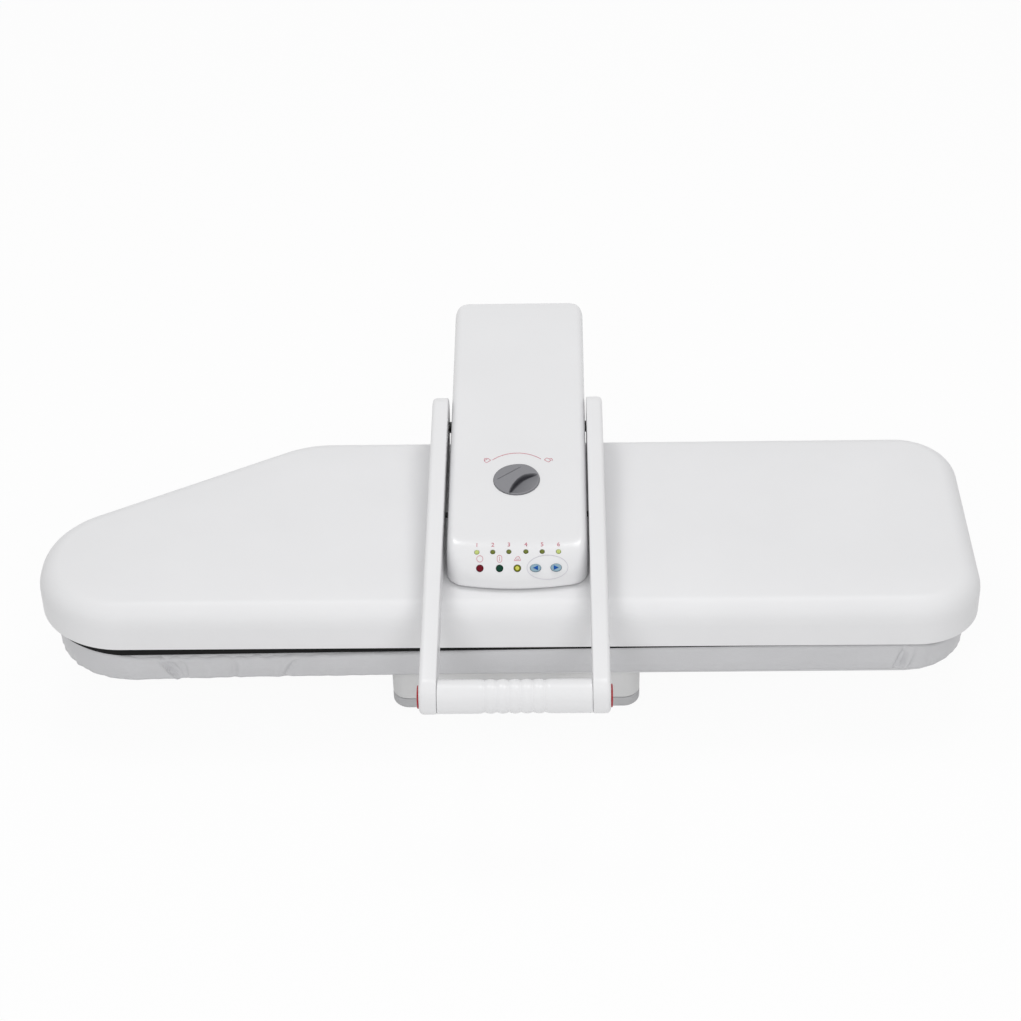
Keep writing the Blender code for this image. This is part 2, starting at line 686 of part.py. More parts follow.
# Hinge bracket on the base: a folded sheet with two cheeks
BRACKET_PROFILE = (
    [(BRACKET_FRONT_Y, BOARD_TRAY_Z), (BRACKET_REAR_Y, BOARD_TRAY_Z)]
    + [(BRACKET_REAR_Y, BOARD_TRAY_Z + BRACKET_SHEET), (LINK_FOOT_Y + BRACKET_EAR_RADIUS, LINK_FOOT_Z)]
    + arc((HINGE_Y, HINGE_Z), BRACKET_EAR_RADIUS, 0, math.pi, CORNER_STEPS)
    + [(BRACKET_FRONT_Y, BOARD_TRAY_Z + BRACKET_SHEET)]
)
hinge_bracket = machine("hinge_bracket", BRACKET_PROFILE, "x", -BRACKET_CHEEK_X, BRACKET_CHEEK_X, STEEL)
cut(hinge_bracket, machine(
    "bracket_inside",
    rectangle(BRACKET_FRONT_Y - OVERRUN, BOARD_TRAY_Z + BRACKET_SHEET,
              BRACKET_REAR_Y + OVERRUN, HINGE_Z + BRACKET_EAR_RADIUS + OVERRUN),
    "x", -CHEEK_INNER_X, CHEEK_INNER_X, STEEL))
cut(hinge_bracket, machine_rod(
    "bracket_hinge_bore", "x", (HINGE_Y, HINGE_Z), HINGE_PIN_RADIUS + GAP,
    -BRACKET_CHEEK_X - OVERRUN, BRACKET_CHEEK_X + OVERRUN, STEEL))
cut(hinge_bracket, machine_rod(
    "bracket_link_bore", "x", (LINK_FOOT_Y, LINK_FOOT_Z), LINK_PIN_RADIUS + GAP,
    -BRACKET_CHEEK_X - OVERRUN, BRACKET_CHEEK_X + OVERRUN, STEEL))
link_pin = machine_rod(
    "link_pin", "x", (LINK_FOOT_Y, LINK_FOOT_Z), LINK_PIN_RADIUS, -BRACKET_CHEEK_X - BRACKET_SHEET,
    BRACKET_CHEEK_X + BRACKET_SHEET, STEEL, SMALL_SIDES)


# Column cover: a humped housing round the hinge, slotted for the link
def hump(radius, foot_z):
    """The column's side view: straight sides under a half round top."""
    return ([(HINGE_Y - radius, foot_z), (HINGE_Y + radius, foot_z)]
            + arc((HINGE_Y, HINGE_Z), radius, 0, math.pi, 2 * CORNER_STEPS))


column_cover = machine(
    "column_cover", hump(COLUMN_RADIUS, BOARD_TRAY_Z), "x",
    -COLUMN_HALF_WIDTH, COLUMN_HALF_WIDTH, WHITE)
cut(column_cover, machine(
    "column_inside", hump(COLUMN_RADIUS - COLUMN_WALL, BOARD_TRAY_Z - OVERRUN), "x",
    COLUMN_WALL - COLUMN_HALF_WIDTH, COLUMN_HALF_WIDTH - COLUMN_WALL, WHITE))
cut(column_cover, machine_rod(
    "column_pin_bore", "x", (HINGE_Y, HINGE_Z), HINGE_PIN_RADIUS + GAP,
    -COLUMN_HALF_WIDTH - OVERRUN, COLUMN_HALF_WIDTH + OVERRUN, WHITE))
cut(column_cover, machine(
    "column_link_slot",
    rectangle(HINGE_Y - COLUMN_RADIUS - OVERRUN, HINGE_Z,
              HINGE_Y + OVERRUN, HINGE_Z + COLUMN_RADIUS + OVERRUN),
    "x", -COLUMN_SLOT_WIDTH / 2, COLUMN_SLOT_WIDTH / 2, WHITE))

# Hinge pins, fixed in the yoke, and the two torsion springs wound round them
for side_name, side in (("left", -1), ("right", 1)):
    inner, outer = SPRING_INNER_X - GAP, YOKE_HALF_WIDTH + GAP
    profile = ((HINGE_PIN_RADIUS, inner), (HINGE_PIN_RADIUS, outer),
               (HINGE_PIN_HEAD_RADIUS, outer), (HINGE_PIN_HEAD_RADIUS, outer + HINGE_PIN_HEAD))
    pin = stack(f"hinge_pin_{side_name}", [
        [(side * x, y, z) for y, z in circle((HINGE_Y, HINGE_Z), r)] for r, x in profile
    ], STEEL, MACHINE)
    hang(head_hinge, pin)

    def coil_point(turn, radius=SPRING_COIL_RADIUS):
        """A place on the spring, counted in turns from its outer end."""
        x = SPRING_INNER_X + SPRING_WIRE_RADIUS + SPRING_PITCH * (SPRING_TURNS - turn)
        return (side * x, HINGE_Y - radius * math.cos(FULL * turn), HINGE_Z + radius * math.sin(FULL * turn))

    outer_x = abs(coil_point(0)[0])
    leg_foot_z = BOARD_TRAY_Z + BRACKET_SHEET + GAP
    path = [(side * outer_x, HINGE_Y - SPRING_COIL_RADIUS, leg_foot_z),
            (side * outer_x, HINGE_Y - SPRING_COIL_RADIUS, HINGE_Z - SPRING_COIL_RADIUS)]
    path += [coil_point(k / SPRING_TURN_STEPS) for k in range(SPRING_TURNS * SPRING_TURN_STEPS + 1)]
    sweep(f"lift_spring_{side_name}", path, SPRING_WIRE_RADIUS, SPRING_WIRE_SIDES, SPRING_STEEL, MACHINE)

SPRING_LEAST_GAP = SPRING_PITCH - 2 * SPRING_WIRE_RADIUS
print(f"least gap between a lift spring's turns: {SPRING_LEAST_GAP / MM:.2f} mm")


# Padded board: a steel tray, foam, and a fitted cloth that draws in under the edge
def board(inset):
    """The padded board's outline."""
    return board_outline(BOARD_LENGTH, BOARD_DEPTH, inset)


TRAY_MARGIN = PAD_CLOTH + PAD_HEM_DRAW + GAP
board_tray = stack("board_tray", [
    at_height(board(inset), z) for inset, z in (
        (TRAY_MARGIN, BOARD_TRAY_Z), (TRAY_MARGIN, BOARD_TRAY_Z + TRAY_HEIGHT),
        (TRAY_MARGIN + TRAY_WALL, BOARD_TRAY_Z + TRAY_HEIGHT),
        (TRAY_MARGIN + TRAY_WALL, BOARD_TRAY_Z + TRAY_WALL))
], STEEL)
CLOTH_INSIDE_Z = PAD_TOP_Z - PAD_CLOTH
FOAM_TOP_Z = CLOTH_INSIDE_Z - GAP
FOAM_MARGIN = TRAY_MARGIN + TRAY_WALL + GAP
FOAM_SHOULDER = FOAM_MARGIN + PAD_EDGE_RADIUS
foam_pad = stack("foam_pad", [
    at_height(board(inset), z) for inset, z in (
        (FOAM_MARGIN, BOARD_TRAY_Z + TRAY_WALL + GAP), (FOAM_MARGIN, FOAM_TOP_Z - PAD_EDGE_RADIUS),
        (FOAM_SHOULDER, FOAM_TOP_Z - PAD_CROWN), (FOAM_SHOULDER + PLATE_MARGIN, FOAM_TOP_Z))
], FOAM)


def pad_rings(grow, top):
    """The cloth's side, drawn in at the hem and bulged above it, and its rounded, crowned top."""
    height = top - PAD_EDGE_RADIUS - PAD_HEM_Z
    rings = [at_height(board(grow + PAD_HEM_DRAW * draw), PAD_HEM_Z + height * rise)
             for rise, draw in PAD_BULGE_SHARES]
    for k in range(1, EDGE_STEPS + 1):
        t = QUARTER * k / EDGE_STEPS
        reach = PAD_EDGE_RADIUS * (1 - math.cos(t))
        rings.append(at_height(board(grow + reach), top - PAD_CROWN - PAD_EDGE_RADIUS * (1 - math.sin(t))))
    rings.append(at_height(board(grow + PLATE_MARGIN + PAD_EDGE_RADIUS), top))
    return rings


pad_cover = stack(
    "pad_cover", pad_rings(0, PAD_TOP_Z)[::-1] + pad_rings(PAD_CLOTH, PAD_TOP_Z - PAD_CLOTH), CLOTH)


# Steam head: cover, heated plate, heater, chamber lid and heat shield
def head(inset):
    """The head's outline."""
    return board_outline(HEAD_LENGTH, HEAD_DEPTH, inset)


def plate(name, margin, low, thickness, mat):
    """A flat plate inside the head."""
    return prism(name, head(margin), "z", low, low + thickness, mat)


head_cover = lid(
    "head_cover", head, HEAD_RIM_Z, HEAD_TOP_Z, HEAD_EDGE_RADIUS, HEAD_WALL, WHITE, steps=CORNER_STEPS)
cut(head_cover, machine(
    "head_hatch", rectangle(-HATCH_WIDTH / 2, HATCH_FRONT_Y, HATCH_WIDTH / 2, HATCH_REAR_Y),
    "z", HEAD_TOP_Z - HEAD_WALL - OVERRUN, HEAD_TOP_Z + OVERRUN, WHITE))
for index, (x_share, y_share) in enumerate(POST_PLACE_SHARES):
    fuse(head_cover, rod(
        f"head_post_{index + 1}", "z", (x_share * HEAD_LENGTH / 2, y_share * HEAD_DEPTH / 2), POST_RADIUS,
        SHIELD_Z + SHIELD_THICKNESS + GAP, HEAD_TOP_Z - HEAD_WALL / 2, WHITE, SMALL_SIDES))
heat_plate = stack("heat_plate", [
    at_height(head(PLATE_MARGIN + inset), z) for inset, z in (
        (PLATE_EDGE_RADIUS, PLATE_Z), (0, PLATE_Z + PLATE_EDGE_RADIUS), (0, PLATE_Z + PLATE_THICKNESS))
], ALUMINIUM)
heater_corners = [(x * HEAD_LENGTH / 2, y * HEAD_DEPTH / 2, HEATER_Z) for x, y in HEATER_PLACE_SHARES]
heating_element = sweep(
    "heating_element", bent_path(heater_corners, HEATER_BEND), HEATER_RADIUS, HOSE_SIDES, STEEL)
steam_chamber_lid = plate("steam_chamber_lid", LID_MARGIN, LID_Z, LID_THICKNESS, ALUMINIUM)
heat_shield = plate("heat_shield", SHIELD_MARGIN, SHIELD_Z, SHIELD_THICKNESS, STEEL)
thermostat = machine_rod(
    "thermostat", "z", (THERMOSTAT_X, THERMOSTAT_Y), THERMOSTAT_RADIUS, LID_Z + LID_THICKNESS + GAP,
    LID_Z + LID_THICKNESS + GAP + THERMOSTAT_HEIGHT, BLACK)
cut(heat_shield, machine_rod(
    "shield_thermostat_hole", "z", (THERMOSTAT_X, THERMOSTAT_Y), THERMOSTAT_RADIUS + GAP,
    SHIELD_Z - OVERRUN / 2, SHIELD_Z + OVERRUN, STEEL))
cut(heat_shield, machine_rod(
    "shield_port_hole", "z", (PUMP_X, STEAM_PORT_Y), HOSE_RADIUS + GAP,
    SHIELD_Z - OVERRUN / 2, SHIELD_Z + OVERRUN, STEEL, SMALL_SIDES))

# Yoke: a folded sheet that joins the plate to the hinge and carries the handle's shaft
NECK_Z = CONSOLE_Z + YOKE_HEAD_CLEARANCE
YOKE_TOP_Y = TANK_FRONT_Y - YOKE_FLANGE / 2
YOKE_PROFILE = (
    [(YOKE_WEB_FRONT_Y, WEB_Z), (YOKE_WEB_REAR_Y, WEB_Z), (YOKE_WEB_REAR_Y, NECK_Z)]
    + [(HEAD_DEPTH / 2 + YOKE_FLANGE, NECK_Z)]
    + arc((HINGE_Y, HINGE_Z), YOKE_HINGE_EAR, YOKE_EAR_LOW_ANGLE, YOKE_EAR_HIGH_ANGLE, 2 * CORNER_STEPS)
    + [(YOKE_TOP_Y, TANK_BOTTOM_Z), (YOKE_TOP_Y - YOKE_FLANGE, SHAFT_Z)]
    + arc((SHAFT_Y, SHAFT_Z), YOKE_SHAFT_EAR, YOKE_EAR_HIGH_ANGLE, math.pi, CORNER_STEPS)
    + [(SHAFT_Y - YOKE_SHAFT_EAR - YOKE_FLANGE, WEB_TOP_Z + YOKE_FLANGE)]
    + [(YOKE_WEB_FRONT_Y, WEB_TOP_Z + YOKE_FLANGE)]
)
hinge_yoke = machine("hinge_yoke", YOKE_PROFILE, "x", -YOKE_HALF_WIDTH, YOKE_HALF_WIDTH, STEEL)
YOKE_INSIDE = [
    (YOKE_WEB_FRONT_Y - OVERRUN, WEB_TOP_Z), (YOKE_WEB_REAR_Y - OVERRUN, WEB_TOP_Z),
    (YOKE_WEB_REAR_Y - OVERRUN, HINGE_Z - 2 * YOKE_HINGE_EAR),
    (HINGE_Y + 2 * YOKE_HINGE_EAR, HINGE_Z - 2 * YOKE_HINGE_EAR),
    (HINGE_Y + 2 * YOKE_HINGE_EAR, SHAFT_Z + 2 * YOKE_SHAFT_EAR),
    (YOKE_WEB_FRONT_Y - OVERRUN, SHAFT_Z + 2 * YOKE_SHAFT_EAR),
]
YOKE_INNER_X = YOKE_HALF_WIDTH - YOKE_SHEET
cut(hinge_yoke, machine("yoke_inside", YOKE_INSIDE, "x", -YOKE_INNER_X, YOKE_INNER_X, STEEL))
cut(hinge_yoke, machine_rod(
    "yoke_hinge_bore", "x", (HINGE_Y, HINGE_Z), HINGE_PIN_RADIUS + GAP,
    -YOKE_HALF_WIDTH - OVERRUN, YOKE_HALF_WIDTH + OVERRUN, STEEL))
cut(hinge_yoke, machine_rod(
    "yoke_shaft_bore", "x", (SHAFT_Y, SHAFT_Z), SHAFT_RADIUS + GAP,
    -YOKE_HALF_WIDTH - OVERRUN, YOKE_HALF_WIDTH + OVERRUN, STEEL))


# Console: one smooth shell with a quarter round front and a sloping top
def rounding(distance, radius):
    """How far a round edge has fallen away at a distance past its start."""
    reach = min(max(distance, 0.0), radius)
    return radius - math.sqrt(radius * radius - reach * reach)


def front_bow(x):
    """How far the bowed front stands back at a place across the console."""
    return CONSOLE_BOW * (x / CONSOLE_BOW_HALF_SPAN) ** 2


def console_profile(x, half, inset, foot_z, rear_z):
    """The console's side view at one place across it, from its front foot to its rear foot."""
    edge = CONSOLE_EDGE_RADIUS - inset
    front_corner = CONSOLE_FRONT_CORNER - inset
    rear_corner = CONSOLE_REAR_CORNER - inset
    rear_round = CONSOLE_REAR_RADIUS - inset
    drop = rounding(abs(x) - (half - edge), edge) + inset
    front = rounding(abs(x) - (half - front_corner), front_corner) + front_bow(x) + inset
    rear_y = CONSOLE_REAR_Y - inset - rounding(abs(x) - (half - rear_corner), rear_corner)
    reach, rise = CONSOLE_FRONT_RADIUS - front, CONSOLE_ARC_RISE - drop
    points = [(CONSOLE_ARC_Y - reach, foot_z)] if foot_z < CONSOLE_Z else []
    for k in range(FRONT_ARC_STEPS + 1):
        t = QUARTER + (PANEL_TILT - QUARTER) * k / FRONT_ARC_STEPS
        points.append((CONSOLE_ARC_Y - reach * math.sin(t), CONSOLE_Z + rise * math.cos(t)))
    crest_y = rear_y - rear_round
    crest_z = panel_height(crest_y) - drop - rear_round
    for k in range(EDGE_STEPS + 1):
        t = PANEL_TILT + QUARTER * (1 - k / EDGE_STEPS)
        t = min(t, QUARTER)
        points.append((crest_y + rear_round * math.cos(t), crest_z + rear_round * math.sin(t)))
    points.append((rear_y, rear_z))
    return points


def console_stations(half, edge):
    """Places across the console, closer together where its edges turn down."""
    flat = half - edge
    inner = [-flat + 2 * flat * i / FLAT_STATIONS for i in range(FLAT_STATIONS + 1)]
    turned = [flat + edge * math.sin(QUARTER * (i + 1) / ROUND_STATIONS) for i in range(ROUND_STATIONS)]
    return [-x for x in reversed(turned)] + inner + turned


def console_solid(name, inset, foot_z, rear_z, floor):
    """A closed body in the console's shape. floor holds the points between its rear and front feet."""
    half = CONSOLE_WIDTH / 2 - inset
    stations = console_stations(half, CONSOLE_FRONT_CORNER - inset)
    bm = bmesh.new()
    rows = [[bm.verts.new((x, y, z)) for y, z in console_profile(x, half, inset, foot_z, rear_z)]
            for x in stations]
    for low, high in zip(rows, rows[1:]):
        for i in range(len(low) - 1):
            bm.faces.new((low[i], low[i + 1], high[i + 1], high[i]))
    ends = [[bm.verts.new((x, y, z)) for y, z in floor] for x in (stations[0], stations[-1])]
    bm.faces.new(rows[0] + ends[0])
    bm.faces.new(rows[-1] + ends[1])
    rear_row, front_row = [row[-1] for row in rows], [row[0] for row in rows]
    if floor:
        bm.faces.new(rear_row + [ends[1][0], ends[0][0]])
        for i in range(len(floor) - 1):
            bm.faces.new((ends[0][i], ends[1][i], ends[1][i + 1], ends[0][i + 1]))
        bm.faces.new(front_row + [ends[1][-1], ends[0][-1]])
    else:
        for i in range(len(rows) - 1):
            bm.faces.new((rear_row[i], rear_row[i + 1], front_row[i + 1], front_row[i]))
    return new_object(name, bm, WHITE, MACHINE)


SKIRT_FRONT_Y = HEAD_DEPTH / 2 + CONSOLE_HEAD_GAP
console_shell = console_solid("console_shell", 0, CONSOLE_Z, CONSOLE_REAR_WALL_Z, [
    (CONSOLE_REAR_Y - CONSOLE_SKIRT_SLOPE, CONSOLE_SKIRT_Z), (SKIRT_FRONT_Y, CONSOLE_SKIRT_Z),
    (SKIRT_FRONT_Y, CONSOLE_Z)])
cut(console_shell, console_solid(
    "console_inside", CONSOLE_WALL, CONSOLE_SKIRT_Z - OVERRUN, CONSOLE_SKIRT_Z - OVERRUN, []))


def front_frame(angle, x):
    """A frame on the rounded front: Z stands out of the surface and X runs across the console.

    A row of lamps droops toward its ends, as seen from above, so that it looks straight from the front.
    """
    angle += ROW_DROOP * (x / ROW_HALF_SPAN) ** 2
    reach = CONSOLE_FRONT_RADIUS - front_bow(x)
    spot = Vector((MACHINE_X + x, CONSOLE_ARC_Y - reach * math.sin(angle),
                   CONSOLE_Z + CONSOLE_ARC_RISE * math.cos(angle)))
    out = Vector((0, -math.sin(angle) / reach, math.cos(angle) / CONSOLE_ARC_RISE)).normalized()
    across = Vector((1, 0, 0))
    up = out.cross(across)
    turn = Matrix((across, up, out)).transposed().to_4x4()
    return Matrix.Translation(spot) @ turn


def lamp(name, x, angle, radius, mat):
    """A domed lamp in a round hole in the console's front."""
    frame = front_frame(angle, x)
    dome = [(radius * math.cos(t), LAMP_PROUD * math.sin(t)) for t in LAMP_DOME_ANGLES]
    profile = ((radius, -LAMP_DEPTH), (radius, 0), *dome)
    cut(console_shell, local_turned(
        f"{name}_hole", ((radius + GAP, -LAMP_DEPTH), (radius + GAP, OVERRUN)), frame, mat, LAMP_SIDES))
    return local_turned(name, profile, frame, mat, LAMP_SIDES)


for index, lamp_x in enumerate(SMALL_LAMP_X):
    lit = index in (0, len(SMALL_LAMP_X) - 1)
    lens = LIT_LENS if lit else OLIVE_LENS
    lamp(f"level_lamp_{index + 1}", lamp_x, SMALL_LAMP_ANGLE, SMALL_LAMP_RADIUS, lens)
for lamp_name, lamp_x, lens in zip(
        ("power_lamp", "heat_lamp", "steam_lamp"), BIG_LAMP_X, (RED_LENS, GREEN_LENS, YELLOW_LENS)):
    lamp(lamp_name, lamp_x, BIG_LAMP_ANGLE, BIG_LAMP_RADIUS, lens)

# Two oval set buttons, pressed into the front
for side_name, button_x in zip(("left", "right"), SET_BUTTON_X):
    frame = front_frame(BIG_LAMP_ANGLE, button_x)
    half_height, half_width = SET_BUTTON_HEIGHT / 2, SET_BUTTON_WIDTH / 2
    slimness = half_height / half_width
    dome = SET_BUTTON_PROUD / 3
    profile = ((half_width, -SET_BUTTON_DEPTH), (half_width, SET_BUTTON_PROUD - dome),
               (half_width - dome, SET_BUTTON_PROUD))
    set_button = local_turned(
        f"set_button_{side_name}", profile, frame, BLUE_BUTTON, ROUND_SIDES, (1, slimness))
    hole = half_width + GAP
    cut(console_shell, local_turned(
        f"set_button_hole_{side_name}", ((hole, -LAMP_DEPTH), (hole, OVERRUN)), frame, WHITE,
        ROUND_SIDES, (1, (half_height + GAP) / hole)))
    hang(pivot(f"set_button_{side_name}_axis", frame.translation), set_button)

# Circuit board behind the lamps, on two posts inside the shell
BOARD_ANGLE = (SMALL_LAMP_ANGLE + BIG_LAMP_ANGLE) / 2
board_frame = front_frame(BOARD_ANGLE, 0)
post_spot = front_frame(BOARD_ANGLE, BOARD_POST_X).translation
BOARD_POST_DROP = board_frame.to_3x3().col[2].dot(board_frame.translation - post_spot)
BOARD_PLATE_DEPTH = SET_BUTTON_DEPTH + SET_BUTTON_TRAVEL + 2 * LAMP_PROUD + CONSOLE_BOW
control_board = local_prism(
    "control_board",
    rectangle(-BOARD_PLATE_WIDTH / 2, -BOARD_PLATE_HEIGHT / 2, BOARD_PLATE_WIDTH / 2, BOARD_PLATE_HEIGHT / 2),
    board_frame, -BOARD_PLATE_DEPTH - BOARD_PLATE_THICKNESS, -BOARD_PLATE_DEPTH, CIRCUIT)
for side_name, side in (("left", -1), ("right", 1)):
    fuse(console_shell, local_prism(
        f"board_post_{side_name}", circle((side * BOARD_POST_X, 0), BOARD_POST_RADIUS, SMALL_SIDES),
        board_frame, -BOARD_PLATE_DEPTH + GAP, -BOARD_POST_DROP - CONSOLE_WALL / 2, WHITE))

# Lock: the knob turns a cam under the panel, whose spiral slots slide two bolts
panel_turn = Matrix.Rotation(PANEL_TILT, 4, "X")
knob_frame = Matrix.Translation((MACHINE_X, PANEL_KNOB_Y, PANEL_KNOB_Z)) @ panel_turn
lock_pivot = pivot("lock_knob_axis", (MACHINE_X, PANEL_KNOB_Y, PANEL_KNOB_Z))
lock_knob = local_turned("lock_knob", (
    (KNOB_RADIUS, -KNOB_SINK), (KNOB_RADIUS, KNOB_PROUD - KNOB_EDGE), (KNOB_RADIUS - KNOB_EDGE, KNOB_PROUD)),
    knob_frame, KNOB_GREY, 2 * ROUND_SIDES)


def scoop_rings(side, waist, flare, deepest, length_share):
    """Sections of a finger scoop: deepest against the grip bar's waisted flank, running out to the rim."""
    rim = KNOB_RADIUS - KNOB_RIM
    turn = Matrix.Rotation(KNOB_RIDGE_ANGLE, 4, "Z")
    rings = []
    for k in range(KNOB_SCOOP_STEPS + 1):
        share = 2 * k / KNOB_SCOOP_STEPS - 1
        x = rim * length_share * share
        flank = waist + flare * share * share
        edge = math.sqrt(rim * rim - x * x)
        depth = deepest * (1 - share * share / 2)
        slope = ((flank + edge) / 2, KNOB_PROUD - KNOB_SCOOP_SLOPE_SHARE * depth)
        section = ((flank, KNOB_PROUD - depth), slope,
                   (edge, KNOB_PROUD - KNOB_EDGE), (edge, OVERRUN), (flank, OVERRUN))
        rings.append([knob_frame @ turn @ Vector((x, side * y, z)) for y, z in section])
    return rings


near_scoop = scoop_rings(-1, KNOB_NEAR_FLANK, KNOB_NEAR_FLARE, KNOB_SCOOP_DEPTH, KNOB_NEAR_LENGTH_SHARE)
far_scoop = scoop_rings(1, KNOB_FAR_FLANK, KNOB_FAR_FLARE, KNOB_FAR_DEPTH, KNOB_FAR_LENGTH_SHARE)
for scoop_name, rings in (("near", near_scoop), ("far", far_scoop)):
    cut(lock_knob, stack(f"knob_scoop_{scoop_name}", rings, KNOB_GREY))
spindle_hole = SPINDLE_RADIUS + GAP
cut(lock_knob, local_turned(
    "knob_bore", ((spindle_hole, -KNOB_SINK - OVERRUN), (spindle_hole, -KNOB_SCOOP_DEPTH)),
    knob_frame, KNOB_GREY))
knob_hole = KNOB_RADIUS + GAP
cut(console_shell, local_turned(
    "panel_knob_hole", ((knob_hole, -CONSOLE_WALL - OVERRUN), (knob_hole, OVERRUN)), knob_frame, WHITE,
    2 * ROUND_SIDES))

CAM_LOW = -CAM_DEPTH - CAM_THICKNESS
lock_cam = local_turned("lock_cam", (
    (CAM_RADIUS, CAM_LOW), (CAM_RADIUS, -CAM_DEPTH), (SPINDLE_RADIUS, -CAM_DEPTH),
    (SPINDLE_RADIUS, -KNOB_SCOOP_DEPTH - GAP)), knob_frame, BLACK, 2 * SMALL_SIDES)


def spiral_slot(half_width, start):
    """A slot whose radius falls steadily with the cam's turn, with a little room past each end."""
    run = half_width / (CAM_SLOT_START - CAM_PITCH * CAM_TURN)
    turns = [-run + (CAM_TURN + 2 * run) * k / CAM_SLOT_STEPS for k in range(CAM_SLOT_STEPS + 1)]
    sides = []
    for offset in (half_width, -half_width):
        sides.append([((CAM_SLOT_START - CAM_PITCH * t + offset) * math.cos(start - t),
                       (CAM_SLOT_START - CAM_PITCH * t + offset) * math.sin(start - t)) for t in turns])
    return sides[0] + sides[1][::-1]


PEG_ROOM = BOLT_PEG_RADIUS + SLOT_CLEARANCE
for side_name, start in (("right", 0), ("left", math.pi)):
    cut(lock_cam, local_prism(
        f"cam_slot_{side_name}", spiral_slot(PEG_ROOM, start), knob_frame,
        CAM_LOW - OVERRUN, -CAM_DEPTH + OVERRUN, BLACK))
hang(lock_pivot, lock_knob, lock_cam)

BOLT_TOP = CAM_LOW - GAP
BOLT_AXIS = BOLT_TOP - BOLT_PLATE / 2
for side_name, side in (("left", -1), ("right", 1)):
    near, far = CAM_SLOT_START - BOLT_PLATE_WIDTH / 2, CAM_SLOT_START + BOLT_PLATE_WIDTH / 2
    front, rear = -BOLT_SET_FORWARD - BOLT_PLATE_WIDTH / 2, -BOLT_SET_FORWARD + BOLT_PLATE_WIDTH / 2
    ell = [(near, front), (BOLT_PLATE_END, front), (BOLT_PLATE_END, rear), (far, rear),
           (far, BOLT_PLATE_WIDTH / 2), (near, BOLT_PLATE_WIDTH / 2)]
    bolt = local_prism(
        f"lock_bolt_{side_name}", [(side * x, y) for x, y in ell], knob_frame,
        BOLT_TOP - BOLT_PLATE, BOLT_TOP, BLACK)
    rod_frame = knob_frame @ Matrix.Translation((0, -BOLT_SET_FORWARD, BOLT_AXIS)) @ Matrix.Rotation(
        side * QUARTER, 4, "Y")
    rod_tip = ARM_INNER_X - GAP
    fuse(bolt, local_turned(
        f"bolt_rod_{side_name}",
        ((BOLT_ROD_RADIUS, BOLT_PLATE_END - BOLT_PLATE_WIDTH), (BOLT_ROD_RADIUS, rod_tip)), rod_frame, BLACK))
    peg_frame = knob_frame @ Matrix.Translation((side * CAM_SLOT_START, 0, 0))
    fuse(bolt, local_turned(
        f"bolt_peg_{side_name}",
        ((BOLT_PEG_RADIUS, BOLT_TOP - BOLT_PLATE / 2), (BOLT_PEG_RADIUS, -CAM_DEPTH)), peg_frame, BLACK))
    cut(console_shell, local_turned(
        f"bolt_hole_{side_name}",
        ((BOLT_ROD_RADIUS + GAP, CONSOLE_WIDTH / 2 - CONSOLE_WALL - OVERRUN),
         (BOLT_ROD_RADIUS + GAP, CONSOLE_WIDTH / 2 + OVERRUN)), rod_frame, WHITE))
    hang(pivot(f"lock_bolt_{side_name}_axis", rod_frame.translation), bolt)

# Handle: two arms and a ribbed grip on one shaft, with the crank in the middle
ARM_FRONT_Y = GRIP_Y - GRIP_RADIUS
ARM_REAR_Y = SHAFT_Y + ARM_REAR_OVERHANG
ARM_REAR_TOP_Z = SHAFT_Z + ARM_BOSS_RADIUS + ARM_BOSS_RISE
ARM_BOTTOM_Z = GRIP_Z - GRIP_RADIUS
ARM_FRONT_TOP_Z = ARM_BOTTOM_Z + ARM_FRONT_HEIGHT
ARM_CORNERS = (
    (ARM_FRONT_Y, ARM_BOTTOM_Z, GRIP_RADIUS - 3 * GAP),
    (GRIP_Y + GRIP_RADIUS, ARM_BOTTOM_Z, GRIP_RADIUS),
    (ARM_KNEE_Y, ARM_UNDERSIDE_Z, -ARM_KNEE_RADIUS),
    (ARM_REAR_Y, ARM_UNDERSIDE_Z, ARM_BOSS_RADIUS - 2 * GAP),
    (ARM_REAR_Y, ARM_REAR_TOP_Z, ARM_BOSS_RADIUS),
    (ARM_FRONT_Y, ARM_FRONT_TOP_Z, ARM_FRONT_TOP_RADIUS),
)


def arm_outline(inset):
    """An arm's side view. A radius below zero marks the one hollow corner, under the arm."""
    corners = inset_corners([(y, z) for y, z, r in ARM_CORNERS], inset)
    return fillet(corners, [abs(r - inset) for y, z, r in ARM_CORNERS])


BAR_FRONT_Y = GRIP_Y + GRIP_RADIUS + BAR_HALF_HEIGHT
BAR_FRONT_Z = GRIP_Z + BAR_HALF_HEIGHT / 2


def bar_outline(grow):
    """The steel bar in each arm: a straight strap with round ends."""
    lean = math.atan2(SHAFT_Z - BAR_FRONT_Z, SHAFT_Y - BAR_FRONT_Y)
    radius = BAR_HALF_HEIGHT + grow
    return (arc((SHAFT_Y, SHAFT_Z), radius, lean - QUARTER, lean + QUARTER, CORNER_STEPS)
            + arc((BAR_FRONT_Y, BAR_FRONT_Z), radius, lean + QUARTER, lean + 3 * QUARTER, CORNER_STEPS))


def across(side, low, high):
    """A stretch along X on one side, in rising order."""
    return tuple(sorted((side * low, side * high)))


